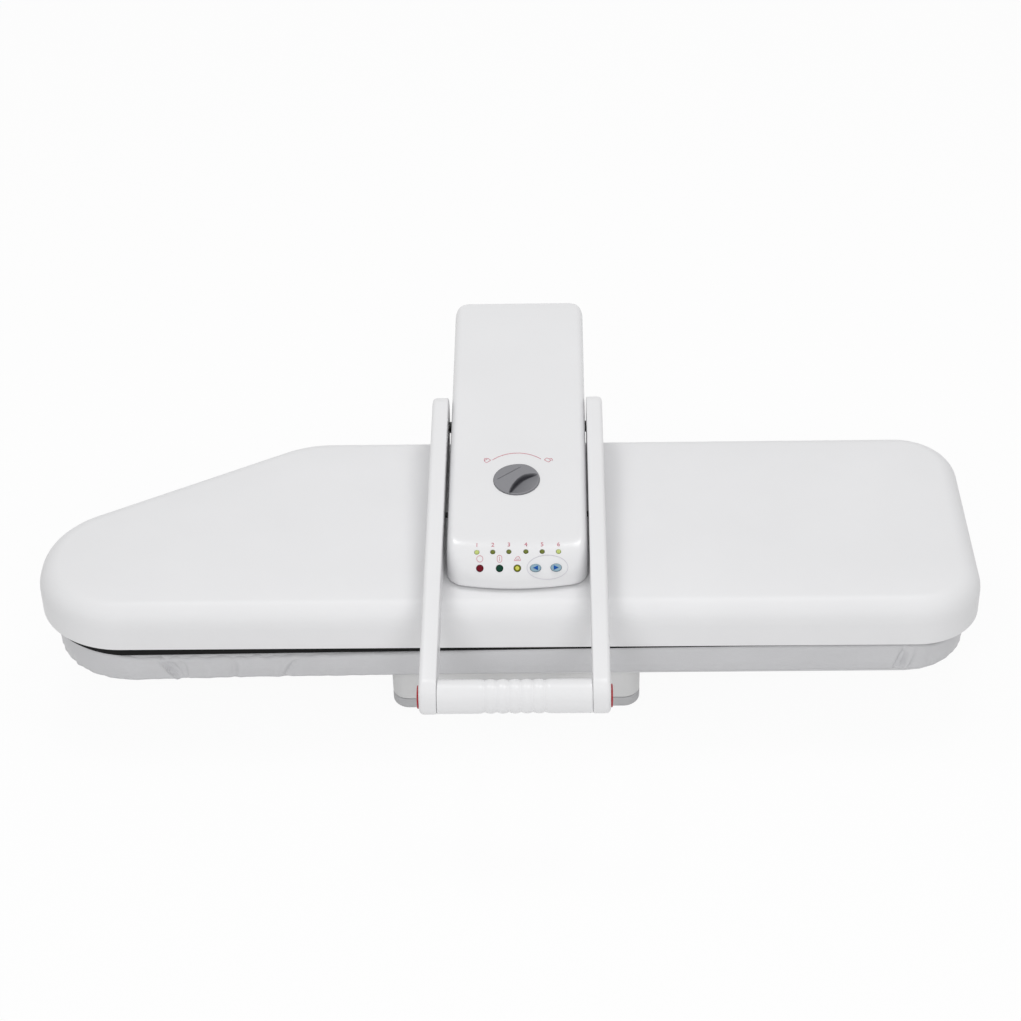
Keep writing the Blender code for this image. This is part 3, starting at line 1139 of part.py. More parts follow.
for side_name, side in (("left", -1), ("right", 1)):
    turns = [QUARTER * k / ARM_EDGE_STEPS for k in range(ARM_EDGE_STEPS + 1)]
    edges = [(ARM_EDGE_RADIUS * (1 - math.sin(t)), ARM_EDGE_RADIUS * (1 - math.cos(t))) for t in turns]
    levels = [(inset, ARM_INNER_X + reach) for inset, reach in edges]
    levels += [(inset, ARM_OUTER_X - reach) for inset, reach in reversed(edges)]
    arm_cover = stack(f"arm_cover_{side_name}", [
        [(side * x, y, z) for y, z in arm_outline(inset)] for inset, x in levels], HANDLE_WHITE, MACHINE)
    bar_low, bar_high = ARM_INNER_X + GAP, ARM_INNER_X + GAP + BAR_THICKNESS
    cut(arm_cover, machine(
        f"arm_pocket_{side_name}", bar_outline(GAP), "x",
        *across(side, ARM_INNER_X - OVERRUN, bar_high + GAP), HANDLE_WHITE))
    cut(arm_cover, machine_rod(
        f"arm_shaft_bore_{side_name}", "x", (SHAFT_Y, SHAFT_Z), SHAFT_RADIUS + GAP,
        *across(side, bar_high, ARM_INNER_X + BAR_THICKNESS + SOCKET_DEPTH + GAP), HANDLE_WHITE, SMALL_SIDES))
    cut(arm_cover, machine_rod(
        f"arm_grip_socket_{side_name}", "x", (GRIP_Y, GRIP_Z), GRIP_TUBE_RADIUS + GAP,
        *across(side, ARM_INNER_X - OVERRUN, ARM_INNER_X + SOCKET_DEPTH + GAP), HANDLE_WHITE))
    button_in = ARM_OUTER_X - STEAM_BUTTON_BODY
    cut(arm_cover, machine_rod(
        f"arm_button_socket_{side_name}", "x", (GRIP_Y, GRIP_Z), STEAM_BUTTON_RADIUS + GAP,
        *across(side, button_in - STEAM_BUTTON_TRAVEL - GAP, ARM_OUTER_X + OVERRUN), HANDLE_WHITE))
    arm_bar = machine(
        f"arm_bar_{side_name}", bar_outline(0), "x", *across(side, bar_low, bar_high), STEEL)
    cut(arm_bar, machine_rod(
        f"arm_bar_bore_{side_name}", "x", (SHAFT_Y, SHAFT_Z), SHAFT_RADIUS + GAP,
        *across(side, bar_low - OVERRUN, bar_high + OVERRUN), STEEL, SMALL_SIDES))
    button_face = ARM_OUTER_X + STEAM_BUTTON_PROUD
    steam_button = stack(f"steam_button_{side_name}", [
        [(side * x, y, z) for y, z in circle((GRIP_Y, GRIP_Z), r)]
        for r, x in ((STEAM_BUTTON_RADIUS, button_in), (STEAM_BUTTON_RADIUS, button_face - STEAM_BUTTON_EDGE),
                     (STEAM_BUTTON_RADIUS - STEAM_BUTTON_EDGE, button_face))
    ], RED, MACHINE)
    bush_low, bush_high = YOKE_HALF_WIDTH + GAP, ARM_INNER_X - GAP
    handle_bush = ring_loop(f"handle_bush_{side_name}", [
        [(side * x, y, z) for y, z in circle((SHAFT_Y, SHAFT_Z), r)]
        for r, x in ((BUSH_RADIUS, bush_low), (BUSH_RADIUS, bush_high),
                     (SHAFT_RADIUS + GAP, bush_high), (SHAFT_RADIUS + GAP, bush_low))
    ], BLACK, MACHINE)
    hang(handle_pivot, arm_cover, arm_bar)
    button_spot = (MACHINE_X + side * ARM_OUTER_X, GRIP_Y, GRIP_Z)
    hang(pivot(f"steam_button_{side_name}_axis", button_spot), steam_button)
    hang(head_hinge, handle_bush)
cut(console_shell, machine_rod(
    "console_bush_holes", "x", (SHAFT_Y, SHAFT_Z), BUSH_RADIUS + GAP,
    -CONSOLE_WIDTH / 2 - OVERRUN, CONSOLE_WIDTH / 2 + OVERRUN, WHITE))


def grip_radius(x):
    """The grip's radius over its grooved middle, where rounded ribs stand between the grooves."""
    return GRIP_RADIUS - GRIP_GROOVE_DEPTH * (1 - abs(math.cos(math.pi * x / GRIP_GROOVE_PITCH)))


GRIP_HALF = ARM_INNER_X - GAP
half_steps = GRIP_GROOVE_COUNT * GRIP_GROOVE_STEPS // 2
grip_stations = [GRIP_GROOVE_PITCH * k / GRIP_GROOVE_STEPS for k in range(-half_steps, half_steps + 1)]
grip_profile = [(x, grip_radius(x)) for x in grip_stations]
bore = GRIP_TUBE_RADIUS + GAP
grip = ring_loop("grip", [
    [(x, y, z) for y, z in circle((GRIP_Y, GRIP_Z), r, GRIP_SIDES)]
    for x, r in [(-GRIP_HALF, GRIP_RADIUS)] + grip_profile + [
        (GRIP_HALF, GRIP_RADIUS), (GRIP_HALF, bore), (-GRIP_HALF, bore)]
], HANDLE_WHITE, MACHINE)
tube_end = ARM_INNER_X + SOCKET_DEPTH
tube_bore = GRIP_TUBE_RADIUS - GRIP_TUBE_WALL
grip_tube = ring_loop("grip_tube", [
    [(x, y, z) for y, z in circle((GRIP_Y, GRIP_Z), r)]
    for x, r in ((-tube_end, GRIP_TUBE_RADIUS), (tube_end, GRIP_TUBE_RADIUS),
                 (tube_end, tube_bore), (-tube_end, tube_bore))
], STEEL, MACHINE)
SHAFT_END = ARM_INNER_X + BAR_THICKNESS + SOCKET_DEPTH
handle_shaft = machine_rod(
    "handle_shaft", "x", (SHAFT_Y, SHAFT_Z), SHAFT_RADIUS, -SHAFT_END, SHAFT_END, STEEL, SMALL_SIDES)


def lever(start, stop, start_radius, stop_radius):
    """A lever's side view: two eyes and the straight sides between them."""
    lean = math.atan2(stop[1] - start[1], stop[0] - start[0])
    tuck = math.acos((start_radius - stop_radius) / math.dist(start, stop))
    return (arc(start, start_radius, lean + tuck, lean + FULL - tuck, 2 * CORNER_STEPS)
            + arc(stop, stop_radius, lean - tuck, lean + tuck, CORNER_STEPS))


FORK_HALF = LINK_THICKNESS / 2 + GAP
CRANK_HALF = FORK_HALF + CRANK_CHEEK
crank = machine(
    "crank",
    lever((SHAFT_Y, SHAFT_Z), (CRANK_PIN_Y, CRANK_PIN_Z), CRANK_HUB_RADIUS, CRANK_EYE_RADIUS),
    "x", -CRANK_HALF, CRANK_HALF, STEEL)
fork_front_y = CRANK_PIN_Y - 2 * LINK_EYE_RADIUS
fork_low_z = CRANK_PIN_Z - 2 * CRANK_HUB_RADIUS - CRANK_EYE_RADIUS
cut(crank, machine(
    "crank_fork",
    rectangle(fork_front_y, fork_low_z, CRANK_PIN_Y + 2 * CRANK_EYE_RADIUS, SHAFT_Z + CRANK_HUB_RADIUS),
    "x", -FORK_HALF, FORK_HALF, STEEL))
cut(crank, machine_rod(
    "crank_shaft_bore", "x", (SHAFT_Y, SHAFT_Z), SHAFT_RADIUS + GAP, -CRANK_HALF - OVERRUN,
    CRANK_HALF + OVERRUN, STEEL))
cut(crank, machine_rod(
    "crank_pin_bore", "x", (CRANK_PIN_Y, CRANK_PIN_Z), CRANK_PIN_RADIUS + GAP, -CRANK_HALF - OVERRUN,
    CRANK_HALF + OVERRUN, STEEL))
crank_pin = machine_rod(
    "crank_pin", "x", (CRANK_PIN_Y, CRANK_PIN_Z), CRANK_PIN_RADIUS, -CRANK_HALF - CRANK_CHEEK / 2,
    CRANK_HALF + CRANK_CHEEK / 2, STEEL, SMALL_SIDES)
hang(handle_pivot, grip, grip_tube, handle_shaft, crank, crank_pin)

pull_link = machine(
    "pull_link",
    lever((CRANK_PIN_Y, CRANK_PIN_Z), (LINK_FOOT_Y, LINK_FOOT_Z), LINK_EYE_RADIUS, LINK_EYE_RADIUS),
    "x", -LINK_THICKNESS / 2, LINK_THICKNESS / 2, STEEL)
for eye_name, eye, pin_radius in (("top", (CRANK_PIN_Y, CRANK_PIN_Z), CRANK_PIN_RADIUS),
                                  ("foot", (LINK_FOOT_Y, LINK_FOOT_Z), LINK_PIN_RADIUS)):
    cut(pull_link, machine_rod(
        f"link_{eye_name}_bore", "x", eye, pin_radius + GAP, -LINK_THICKNESS, LINK_THICKNESS, STEEL))
hang(link_pivot, pull_link)

# Water tank: a drawer in the console's rear on two rails, with a filler flap in its rear face
TANK_TOP_REAR_Z = panel_height(CONSOLE_REAR_Y - CONSOLE_REAR_RADIUS) - CONSOLE_REAR_RADIUS
TANK_TOP_FRONT_Z = panel_height(TANK_FRONT_Y) - CONSOLE_WALL - TANK_TOP_CLEARANCE
TANK_TOP_Z = min(TANK_TOP_REAR_Z, TANK_TOP_FRONT_Z)


def tank_outline(grow):
    """The tank's cross section."""
    x = TANK_HALF_WIDTH + grow
    return rectangle(-x, TANK_BOTTOM_Z - grow, x, TANK_TOP_Z + grow, TANK_CORNER + grow)


TANK_FACE_Y = CONSOLE_REAR_Y
water_tank = machine("water_tank", tank_outline(0), "y", TANK_FRONT_Y, TANK_FACE_Y, TANK_PLASTIC)
FLAP_TOP_Z = TANK_TOP_Z - FLAP_TOP_MARGIN
FLAP_LOW_Z = FLAP_TOP_Z - FLAP_HEIGHT
FILLER_Z = (FLAP_TOP_Z + FLAP_LOW_Z) / 2
cut(water_tank, machine(
    "flap_recess", rectangle(-FLAP_WIDTH / 2 - GAP, FLAP_LOW_Z - GAP, FLAP_WIDTH / 2 + GAP, FLAP_TOP_Z + GAP,
                             FLAP_CORNER + GAP),
    "y", TANK_FACE_Y - FLAP_THICKNESS - GAP, TANK_FACE_Y + OVERRUN, TANK_PLASTIC))
cut(water_tank, machine_rod(
    "tank_filler", "y", (0, FILLER_Z), FILLER_RADIUS, TANK_FACE_Y - 2 * CONSOLE_REAR_RADIUS,
    TANK_FACE_Y + OVERRUN, TANK_PLASTIC))
cut(water_tank, machine(
    "tank_inside", tank_outline(-TANK_WALL), "y", TANK_FRONT_Y + TANK_WALL,
    TANK_FACE_Y - FLAP_THICKNESS - 2 * TANK_WALL, TANK_PLASTIC))
tank_flap = machine(
    "tank_flap", rectangle(-FLAP_WIDTH / 2, FLAP_LOW_Z, FLAP_WIDTH / 2, FLAP_TOP_Z, FLAP_CORNER),
    "y", TANK_FACE_Y - FLAP_THICKNESS, TANK_FACE_Y, TANK_PLASTIC)
tank_pivot = pivot("water_tank_axis", (MACHINE_X, TANK_FACE_Y, TANK_BOTTOM_Z))
flap_pivot = pivot("tank_flap_axis", (MACHINE_X, TANK_FACE_Y, FLAP_TOP_Z))
hang(tank_pivot, water_tank)
hang(flap_pivot, tank_flap)
cut(console_shell, machine(
    "tank_mouth", tank_outline(TANK_RIM_GAP), "y", CONSOLE_REAR_Y - CONSOLE_REAR_RADIUS - OVERRUN,
    CONSOLE_REAR_Y + OVERRUN, WHITE))
for side_name, side in (("left", -1), ("right", 1)):
    rail_low, rail_high = across(side, RAIL_INNER_X, CONSOLE_WIDTH / 2 - CONSOLE_WALL / 2)
    fuse(console_shell, machine(
        f"tank_rail_{side_name}",
        rectangle(rail_low, TANK_BOTTOM_Z - GAP - RAIL_HEIGHT, rail_high, TANK_BOTTOM_Z - GAP),
        "y", RAIL_FRONT_Y, CONSOLE_REAR_Y - CONSOLE_REAR_CORNER, WHITE))

# Pump on the yoke's web, and its two hoses
pump = machine_rod(
    "pump", "y", (PUMP_X, PUMP_Z), PUMP_RADIUS, PUMP_FRONT_Y, PUMP_FRONT_Y + PUMP_LENGTH, BLACK)
FEED_Z = CONSOLE_Z + PUMP_RADIUS
PUMP_INLET_Y = PUMP_FRONT_Y + PUMP_INLET_SHARE * PUMP_LENGTH
feed_hose = sweep("feed_hose", bent_path([
    (PUMP_X, TANK_FRONT_Y - GAP, FEED_Z), (PUMP_X, PUMP_INLET_Y, FEED_Z),
    (PUMP_X, PUMP_INLET_Y, PUMP_Z + PUMP_RADIUS + GAP)], FEED_BEND),
    HOSE_RADIUS, HOSE_SIDES, HOSE, MACHINE)
steam_hose = sweep("steam_hose", bent_path([
    (PUMP_X, PUMP_FRONT_Y - GAP, PUMP_Z), (PUMP_X, STEAM_PORT_Y, PUMP_Z),
    (PUMP_X, STEAM_PORT_Y, LID_Z + LID_THICKNESS + GAP)], HOSE_BEND),
    HOSE_RADIUS, HOSE_SIDES, HOSE, MACHINE)

# Everything else that the hinge lifts hangs from its empty
HEAD_PIECES = ("head_cover", "heat_plate", "heating_element", "steam_chamber_lid", "heat_shield",
               "thermostat", "hinge_yoke", "console_shell", "control_board", "pump", "feed_hose",
               "steam_hose")
for thing in list(bpy.data.objects):
    if thing.name in HEAD_PIECES or "_lamp" in thing.name and thing.display_type != "WIRE":
        hang(head_hinge, thing)
for follower in ("handle_axis", "lock_knob_axis", "lock_bolt_left_axis", "lock_bolt_right_axis",
                 "set_button_left_axis", "set_button_right_axis", "water_tank_axis"):
    hang(head_hinge, bpy.data.objects[follower])
for follower in ("steam_button_left_axis", "steam_button_right_axis"):
    hang(handle_pivot, bpy.data.objects[follower])
hang(tank_pivot, flap_pivot)
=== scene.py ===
# %% [markdown]
# # A steam ironing press
#
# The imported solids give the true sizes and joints. This lesson dresses them: every solid gets a
# finish, and the pieces whose smooth, soft or printed forms a plain solid can't carry are made
# again in the same place. Lengths are in metres: +X runs along the board, -Y is the front.

# %%
import math

import bmesh
import bpy
import numpy as np
from mathutils import Matrix, Vector


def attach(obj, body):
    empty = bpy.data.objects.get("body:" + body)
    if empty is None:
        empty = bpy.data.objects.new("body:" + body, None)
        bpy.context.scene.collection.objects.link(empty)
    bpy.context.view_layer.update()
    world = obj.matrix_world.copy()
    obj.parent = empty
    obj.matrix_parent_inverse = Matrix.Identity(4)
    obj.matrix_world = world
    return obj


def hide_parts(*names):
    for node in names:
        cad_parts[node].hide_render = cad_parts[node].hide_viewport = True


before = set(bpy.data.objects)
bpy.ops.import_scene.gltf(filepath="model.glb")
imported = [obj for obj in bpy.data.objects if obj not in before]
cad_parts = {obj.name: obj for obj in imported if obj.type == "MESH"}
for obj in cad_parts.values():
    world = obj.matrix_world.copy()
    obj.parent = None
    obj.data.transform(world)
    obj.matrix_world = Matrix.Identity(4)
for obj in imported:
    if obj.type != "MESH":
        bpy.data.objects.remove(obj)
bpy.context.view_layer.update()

MM = 0.001


def mm(*lengths):
    """Several lengths in millimetres, as metres."""
    return tuple(length * MM for length in lengths)


QUARTER = math.pi / 2
FULL = 2 * math.pi
rng = np.random.default_rng(7)

# %% [markdown]
# ## Sizes
#
# These repeat the part's own sizes, because this script can't read its source. The part could
# also be measured from its boxes, but a named size says what it is.

# %%
MACHINE_X = 9 * MM
GAP = 0.3 * MM
OVERRUN = 4 * MM
# Corners of head, plate and board: place across and along as shares, and radius
CORNER_SHARES = (
    (-1.0, -1.0, 0.6), (1.0, -1.0, 0.455), (1.0, 1.0, 0.415), (-0.4615, 1.0, 0.68),
    (-1.0, -0.0075, 0.6))
HEAD_LENGTH, HEAD_DEPTH = mm(833, 264)
HEAD_RIM_Z, HEAD_TOP_Z, HEAD_EDGE, HEAD_WALL = mm(91, 132.5, 20, 3)
HEAD_CROWN, HEAD_CROWN_WIDTH, RIM_DIP = mm(0.9, 34, 1.6)
HATCH_BOX = mm(-52, -10, 52, 108)
HATCH_CORNER, HATCH_DEPTH = mm(4, 12)
BOARD_LENGTH, BOARD_DEPTH = mm(812, 257)
PAD_TOP_Z, PAD_HEM_Z, PAD_CLOTH, PAD_EDGE = mm(84, 55.6, 1.4, 5)
PLATE_Z, PLATE_THICKNESS, PLATE_MARGIN = mm(84.3, 8, 12)
BASE_LEFT_X, BASE_RIGHT_X = mm(-112.9, 108.4)
BASE_FRONT_Y, BASE_REAR_Y = mm(-112, 236)
FOOT_X, FOOT_INSET = mm(87.5, 24)
BASE_CORNER, BASE_EDGE, BASE_WALL = mm(15, 8, 3)
TRAY_LOW_Z, SEAM_Z, BASE_TOP_Z = mm(3, 13.6, 55)
HINGE_Y, HINGE_Z, COLUMN_RADIUS, COLUMN_HALF = mm(205, 95, 26, 42)
CONSOLE_HALF, CONSOLE_Z, CONSOLE_WALL = mm(60.7, 132.8, 2.5)
FRONT_Y, FRONT_RADIUS, BOW, BOW_SPAN = mm(-106.2, 43.4, 5, 47)
CONSOLE_CORNER, CONSOLE_EDGE, REAR_CORNER, REAR_ROUND = mm(14, 7, 14, 5)
CONSOLE_LIP, WIDER_RIGHT = mm(4, 1.7)
REAR_Y, REAR_WALL_Z, SKIRT_Z, SKIRT_SLOPE, SKIRT_FRONT_Y = mm(263.5, 117, 104, 24, 135)
TILT, KNOB_Y, KNOB_Z = math.radians(6), 4.5 * MM, 171.7 * MM
ARC_Y = FRONT_Y + FRONT_RADIUS
ARC_RISE = (KNOB_Z + (ARC_Y - FRONT_RADIUS * math.sin(TILT) - KNOB_Y) * math.tan(TILT)
            - CONSOLE_Z) / math.cos(TILT)
SMALL_LAMP_X = mm(-34, -20.2, -6.2, 8.6, 22.7, 36.9)
BIG_LAMP_X = mm(-31.4, -14.3, 1.1)
SET_BUTTON_X = mm(16.9, 34.7)
SMALL_ANGLE, BIG_ANGLE = math.radians(31.4), math.radians(54.2)
ROW_DROOP, ROW_SPAN = math.radians(1.9), 35 * MM
SMALL_LAMP, BIG_LAMP, LAMP_PROUD, LAMP_DEPTH = mm(2, 3, 0.9, 7)
BUTTON_HALF_WIDTH, BUTTON_HALF_HEIGHT, BUTTON_PROUD = mm(4.65, 3.3, 1.8)
KNOB_RADIUS, KNOB_PROUD, KNOB_SINK = mm(20.6, 1.5, 8)
SHAFT_Y, SHAFT_Z, SHAFT_RADIUS, BUSH_RADIUS = mm(101, 162.5, 3.5, 5.2)
BOLT_FORWARD, BOLT_SINK, BOLT_RADIUS = mm(27.6, 17, 2.6)
ARM_INNER, ARM_THICKNESS, ARM_EDGE, INNER_EDGE = mm(63.8, 14.7, 4, 1.5)
GRIP_Y, GRIP_Z, GRIP_RADIUS = mm(-249.4, 136.6, 14.1)
GROOVE_PITCH, GROOVE_DEPTH, GROOVE_COUNT = 9.9 * MM, 1.1 * MM, 6
STEAM_BUTTON, STEAM_PROUD, STEAM_BODY = mm(9.7, 1.6, 2.2)
BAR_THICKNESS, BAR_HALF_HEIGHT, SOCKET_DEPTH, TUBE_RADIUS = mm(4, 9, 6, 9)
TANK_HALF, TANK_FRONT_Y, TANK_LOW_Z, TANK_TOP_Z, TANK_WALL = mm(45, 184, 124, 186.57, 2.5)
TANK_CORNER, TANK_EDGE = mm(6, 1)
FLAP_HALF, FLAP_LOW_Z, FLAP_TOP_Z, FLAP_THICKNESS = mm(30, 153.57, 179.57, 2.4)
FLAP_CORNER, FLAP_EDGE = mm(5, 0.6)

# %% [markdown]
# ## Tools for shapes
#
# A piece is an array of points, most often rings of equal count with faces between them. A mesh
# could be drawn by hand as well, but an array says the rule that the form follows, and numpy
# handles all its points at once.

# %%
def unit(vectors):
    """Each vector divided by its own length."""
    return vectors / np.linalg.norm(vectors, axis=-1, keepdims=True)


def around(turn):
    """Points on a circle of radius 1, at angles."""
    return np.stack([np.cos(turn), np.sin(turn)], -1)


def round_corners(corners, radii, steps=20):
    """A polygon whose corners are arcs. An arc's centre lies on the corner's bisector, as far out
    as the radius over the sine of half the corner's angle."""
    corners, radii = np.asarray(corners, float), np.asarray(radii, float)
    back, ahead = unit(np.roll(corners, 1, 0) - corners), unit(np.roll(corners, -1, 0) - corners)
    half = np.arccos(np.sum(back * ahead, 1)) / 2
    centre = corners + unit(back + ahead) * (radii / np.sin(half))[:, None]
    start = corners + back * (radii / np.tan(half))[:, None] - centre
    stop = corners + ahead * (radii / np.tan(half))[:, None] - centre
    first = np.arctan2(start[:, 1], start[:, 0])
    sweep = (np.arctan2(stop[:, 1], stop[:, 0]) - first + math.pi) % FULL - math.pi
    turn = first[:, None] + sweep[:, None] * np.linspace(0, 1, steps + 1)
    return (centre[:, None] + radii[:, None, None] * around(turn)).reshape(-1, 2)


def moved_in(corners, amount):
    """A polygon's corners after its sides have moved inwards: each goes along its bisector."""
    corners = np.asarray(corners, float)
    back, ahead = unit(corners - np.roll(corners, 1, 0)), unit(np.roll(corners, -1, 0) - corners)
    normal = np.stack([-back[:, 1], back[:, 0]], -1)
    middle = unit(normal + np.stack([-ahead[:, 1], ahead[:, 0]], -1))
    return corners + middle * (amount / np.sum(middle * normal, 1))[:, None]


def long_outline(length, depth, inset=0.0, steps=20):
    """The outline with one slanted side that head, plate and board share."""
    shares = np.array(CORNER_SHARES)
    corners = shares[:, :2] * (length / 2, depth / 2)
    return round_corners(moved_in(corners, inset), shares[:, 2] * depth / 2 - inset, steps)


def rectangle(x0, y0, x1, y1, radius=0.0, steps=8):
    """A rectangle's corners, rounded where it has a radius."""
    corners = np.array([(x0, y0), (x1, y0), (x1, y1), (x0, y1)])
    return round_corners(corners, [radius] * 4, steps) if radius else corners


def circle(radius, count=48, centre=(0.0, 0.0)):
    """Points round a circle."""
    return np.array(centre) + radius * around(FULL * np.arange(count) / count)


def lift(outline, level, axis="z"):
    """A flat outline as a ring at a place on an axis."""
    level = np.full(len(outline), level)
    a, b = outline[:, 0], outline[:, 1]
    return np.stack({"x": (level, a, b), "y": (a, level, b), "z": (a, b, level)}[axis], -1)


def quarter_turn(steps):
    """Shares (1 - sine, 1 - cosine) of a quarter circle, from a wall's edge over to flat."""
    return 1 - around(np.linspace(0, QUARTER, steps + 1))


def round_edge(outline, radius, level, steps, axis="z", start=0.0, way=-1):
    """Rings over a round edge: the outline moves in while it nears its level. way is -1 for an edge
    that rises to the level, and 1 for one that falls to it."""
    return [lift(outline(start + radius * side), level + way * radius * down, axis)
            for side, down in quarter_turn(steps)]


def loft(rings, joined=False, rim=0.004):
    """Faces through rings. An open stack gets a flat face over each end, with a narrow rim ring in
    it, so that smooth shading stops at the rim."""
    rings = np.asarray(rings, float)
    if not joined:
        ends = [ring.mean(0) + (ring - ring.mean(0)) * (1 - rim) for ring in (rings[0], rings[-1])]
        rings = np.concatenate([ends[:1], rings, ends[1:]])
    rows, count = rings.shape[:2]
    low = np.arange(rows if joined else rows - 1)[:, None] * count
    high = (low + count) % (rows * count)
    i, j = np.arange(count), (np.arange(count) + 1) % count
    faces = np.stack([low + i, low + j, high + j, high + i], -1).reshape(-1, 4).tolist()
    if not joined:
        faces += [list(range(count)), list(range((rows - 1) * count, rows * count))]
    return rings.reshape(-1, 3), faces


def prism(outline, low, high, axis="z"):
    """An outline carried straight along an axis."""
    return loft([lift(outline, low, axis), lift(outline, high, axis)])


def together(shapes):
    """Several shapes as one."""
    starts = np.cumsum([0] + [len(points) for points, faces in shapes])
    faces = [[k + start for k in face]
             for start, (points, own) in zip(starts, shapes) for face in own]
    return np.concatenate([points for points, own in shapes]), faces


def turned(profile, place=None, count=48, stretch=(1.0, 1.0)):
    """A body turned about an axis, from (radius, height) pairs, set down by a matrix."""
    rings = np.stack([lift(circle(r, count) * stretch, h) for r, h in profile])
    points, faces = loft(rings)
    return set_down(points, place), faces


def set_down(points, place):
    """Points carried by a 4 x 4 matrix."""
    if place is None:
        return points
    matrix = np.array(place)
    return points @ matrix[:3, :3].T + matrix[:3, 3]


def placed(name, data):
    """A new object in the scene."""
    thing = bpy.data.objects.new(name, data)
    bpy.context.scene.collection.objects.link(thing)
    return thing


def solid(name, shape, machine=True):
    """A mesh object from a shape, its faces turned outwards. The machine stands 9 mm beside the
    board's middle."""
    points, faces = shape
    mesh = bpy.data.meshes.new(name)
    mesh.from_pydata((points + (MACHINE_X if machine else 0.0, 0, 0)).tolist(), [], faces)
    shaper = bmesh.new()
    shaper.from_mesh(mesh)
    bmesh.ops.recalc_face_normals(shaper, faces=shaper.faces)
    shaper.to_mesh(mesh)
    shaper.free()
    return placed(name, mesh)


def carve(thing, *tools, operation="DIFFERENCE", machine=True):
    """Cuts or adds shapes, one Boolean after another, and keeps the result as the mesh."""
    for tool in tools:
        cutter = solid("cutter", tool, machine)
        step = thing.modifiers.new("carve", "BOOLEAN")
        step.operation, step.solver, step.object = operation, "EXACT", cutter
        view = bpy.context.evaluated_depsgraph_get()
        done = bpy.data.meshes.new_from_object(thing.evaluated_get(view))
        thing.modifiers.clear()
        thing.data = done
        bpy.data.objects.remove(cutter)
    thing.data.name = thing.name


def dress(thing, look, body, *nodes, slot=None, sharp=34):
    """Gives a piece its finish, its shading, its body and the solids it stands for. Its slot is not
    used.
    """
    thing.data.materials.clear()
    thing.data.materials.append(FINISHES[look])
    thing.data.shade_smooth()
    thing.data.set_sharp_from_angle(angle=math.radians(sharp))
    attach(thing, body)
    if nodes:
        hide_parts(*nodes)
    print(f"{thing.name}: {len(thing.data.polygons)} faces, rides on {body}")


# %% [markdown]
# ## Finishes
#
# Each finish is a small tree of nodes. A real surface is never one flat value, so each has a faint
# change of colour, of gloss and of height. Pictures could give that too, but noise has no seams,
# needs no map and is as sharp from near as from far. The small class lets a tree be written as
# sums.

# %%
FINISHES = {}


class Value:
    """One value in a finish. Sums and products of values become maths nodes."""

    def __init__(self, finish, socket):
        self.finish, self.socket = finish, socket

    def maths(self, operation, *others):
        """A maths node fed with this value and others."""
        inputs = dict(enumerate((self, *others)))
        return self.finish.node("ShaderNodeMath", {"operation": operation}, inputs)

    def __add__(self, other):
        return self.maths("ADD", other)

    def __mul__(self, other):
        return self.maths("MULTIPLY", other)

    def __sub__(self, other):
        return self.maths("SUBTRACT", other)

    __radd__ = __add__
    __rmul__ = __mul__


class Finish:
    """A material whose Principled shader takes its changing values from a tree of nodes."""

    def __init__(self, name, colour=None, roughness=None, **constants):
        self.material = bpy.data.materials.new(name)
        self.material.use_nodes = True
        self.tree = self.material.node_tree
        self.shader = self.tree.nodes["Principled BSDF"]
        self.name, self.colour, self.roughness = name, colour, roughness
        for socket, value in constants.items():
            self.shader.inputs[socket.replace("_", " ")].default_value = value
        self.spot = self.node("ShaderNodeTexCoord", {}, {}, "Object")

    def node(self, kind, settings, values, output=0):
        """Adds a node: its settings first, then its sockets' values or links."""
        node = self.tree.nodes.new(kind)
        for key, value in settings.items():
            setattr(node, key, value)
        for key, value in values.items():
            if isinstance(value, Value):
                self.tree.links.new(value.socket, node.inputs[key])
            else:
                node.inputs[key].default_value = value
        return Value(self, node.outputs[output])

    def feed(self, socket, value):
        """Links a value to the shader."""
        self.tree.links.new(value.socket, self.shader.inputs[socket])

    def noise(self, scale, detail=2.0, stretch=(1, 1, 1)):
        """Smooth noise round 0.5, stretched if wanted."""
        spot = self.node("ShaderNodeMapping", {}, {"Vector": self.spot, "Scale": stretch})
        values = {"Vector": spot, "Scale": scale, "Detail": detail}
        return self.node("ShaderNodeTexNoise", {}, values, "Fac")

    def tint(self, share, low, high):
        """The colour between two strengths of itself."""
        pair = [(*(min(1.0, c * strength) for c in self.colour), 1.0) for strength in (low, high)]
        return self.mix(share, *pair)

    def mix(self, share, first, second):
        """A colour between two colours."""
        return self.node(
            "ShaderNodeMix", {"data_type": "RGBA"}, {"Factor": share, 6: first, 7: second}, 2)

    def bump(self, height, depth):
        """Raises the surface by a value, with its full depth in metres."""
        self.feed("Normal", self.node("ShaderNodeBump", {}, {"Height": height, "Distance": depth}))

    def keep(self, colour, roughness, height, depth):
        """Ends the tree with its colour, roughness and relief, and keeps the material."""
        self.feed("Base Color", colour)
        self.feed("Roughness", roughness)
        self.bump(height, depth)
        FINISHES[self.name] = self.material

    def plain(self, depth, spread=0.03, grain=1500.0, gloss=0.06, stretch=(1, 1, 1)):
        """The common tree: slow changes of colour, quicker ones of gloss, and a fine grain."""
        quick = self.roughness - gloss + 2 * gloss * self.noise(QUICK, 3.0, stretch)
        slow = self.tint(self.noise(SLOW, 3.0), 1 - spread, 1 + spread)
        self.keep(slow, quick, self.noise(grain, 2.0, stretch), depth)


SLOW, QUICK = 10.8, 90.0
SOFT, METAL, UNEVEN = dict(Specular_IOR_Level=0.3), dict(Metallic=0.9), dict(spread=0.1)
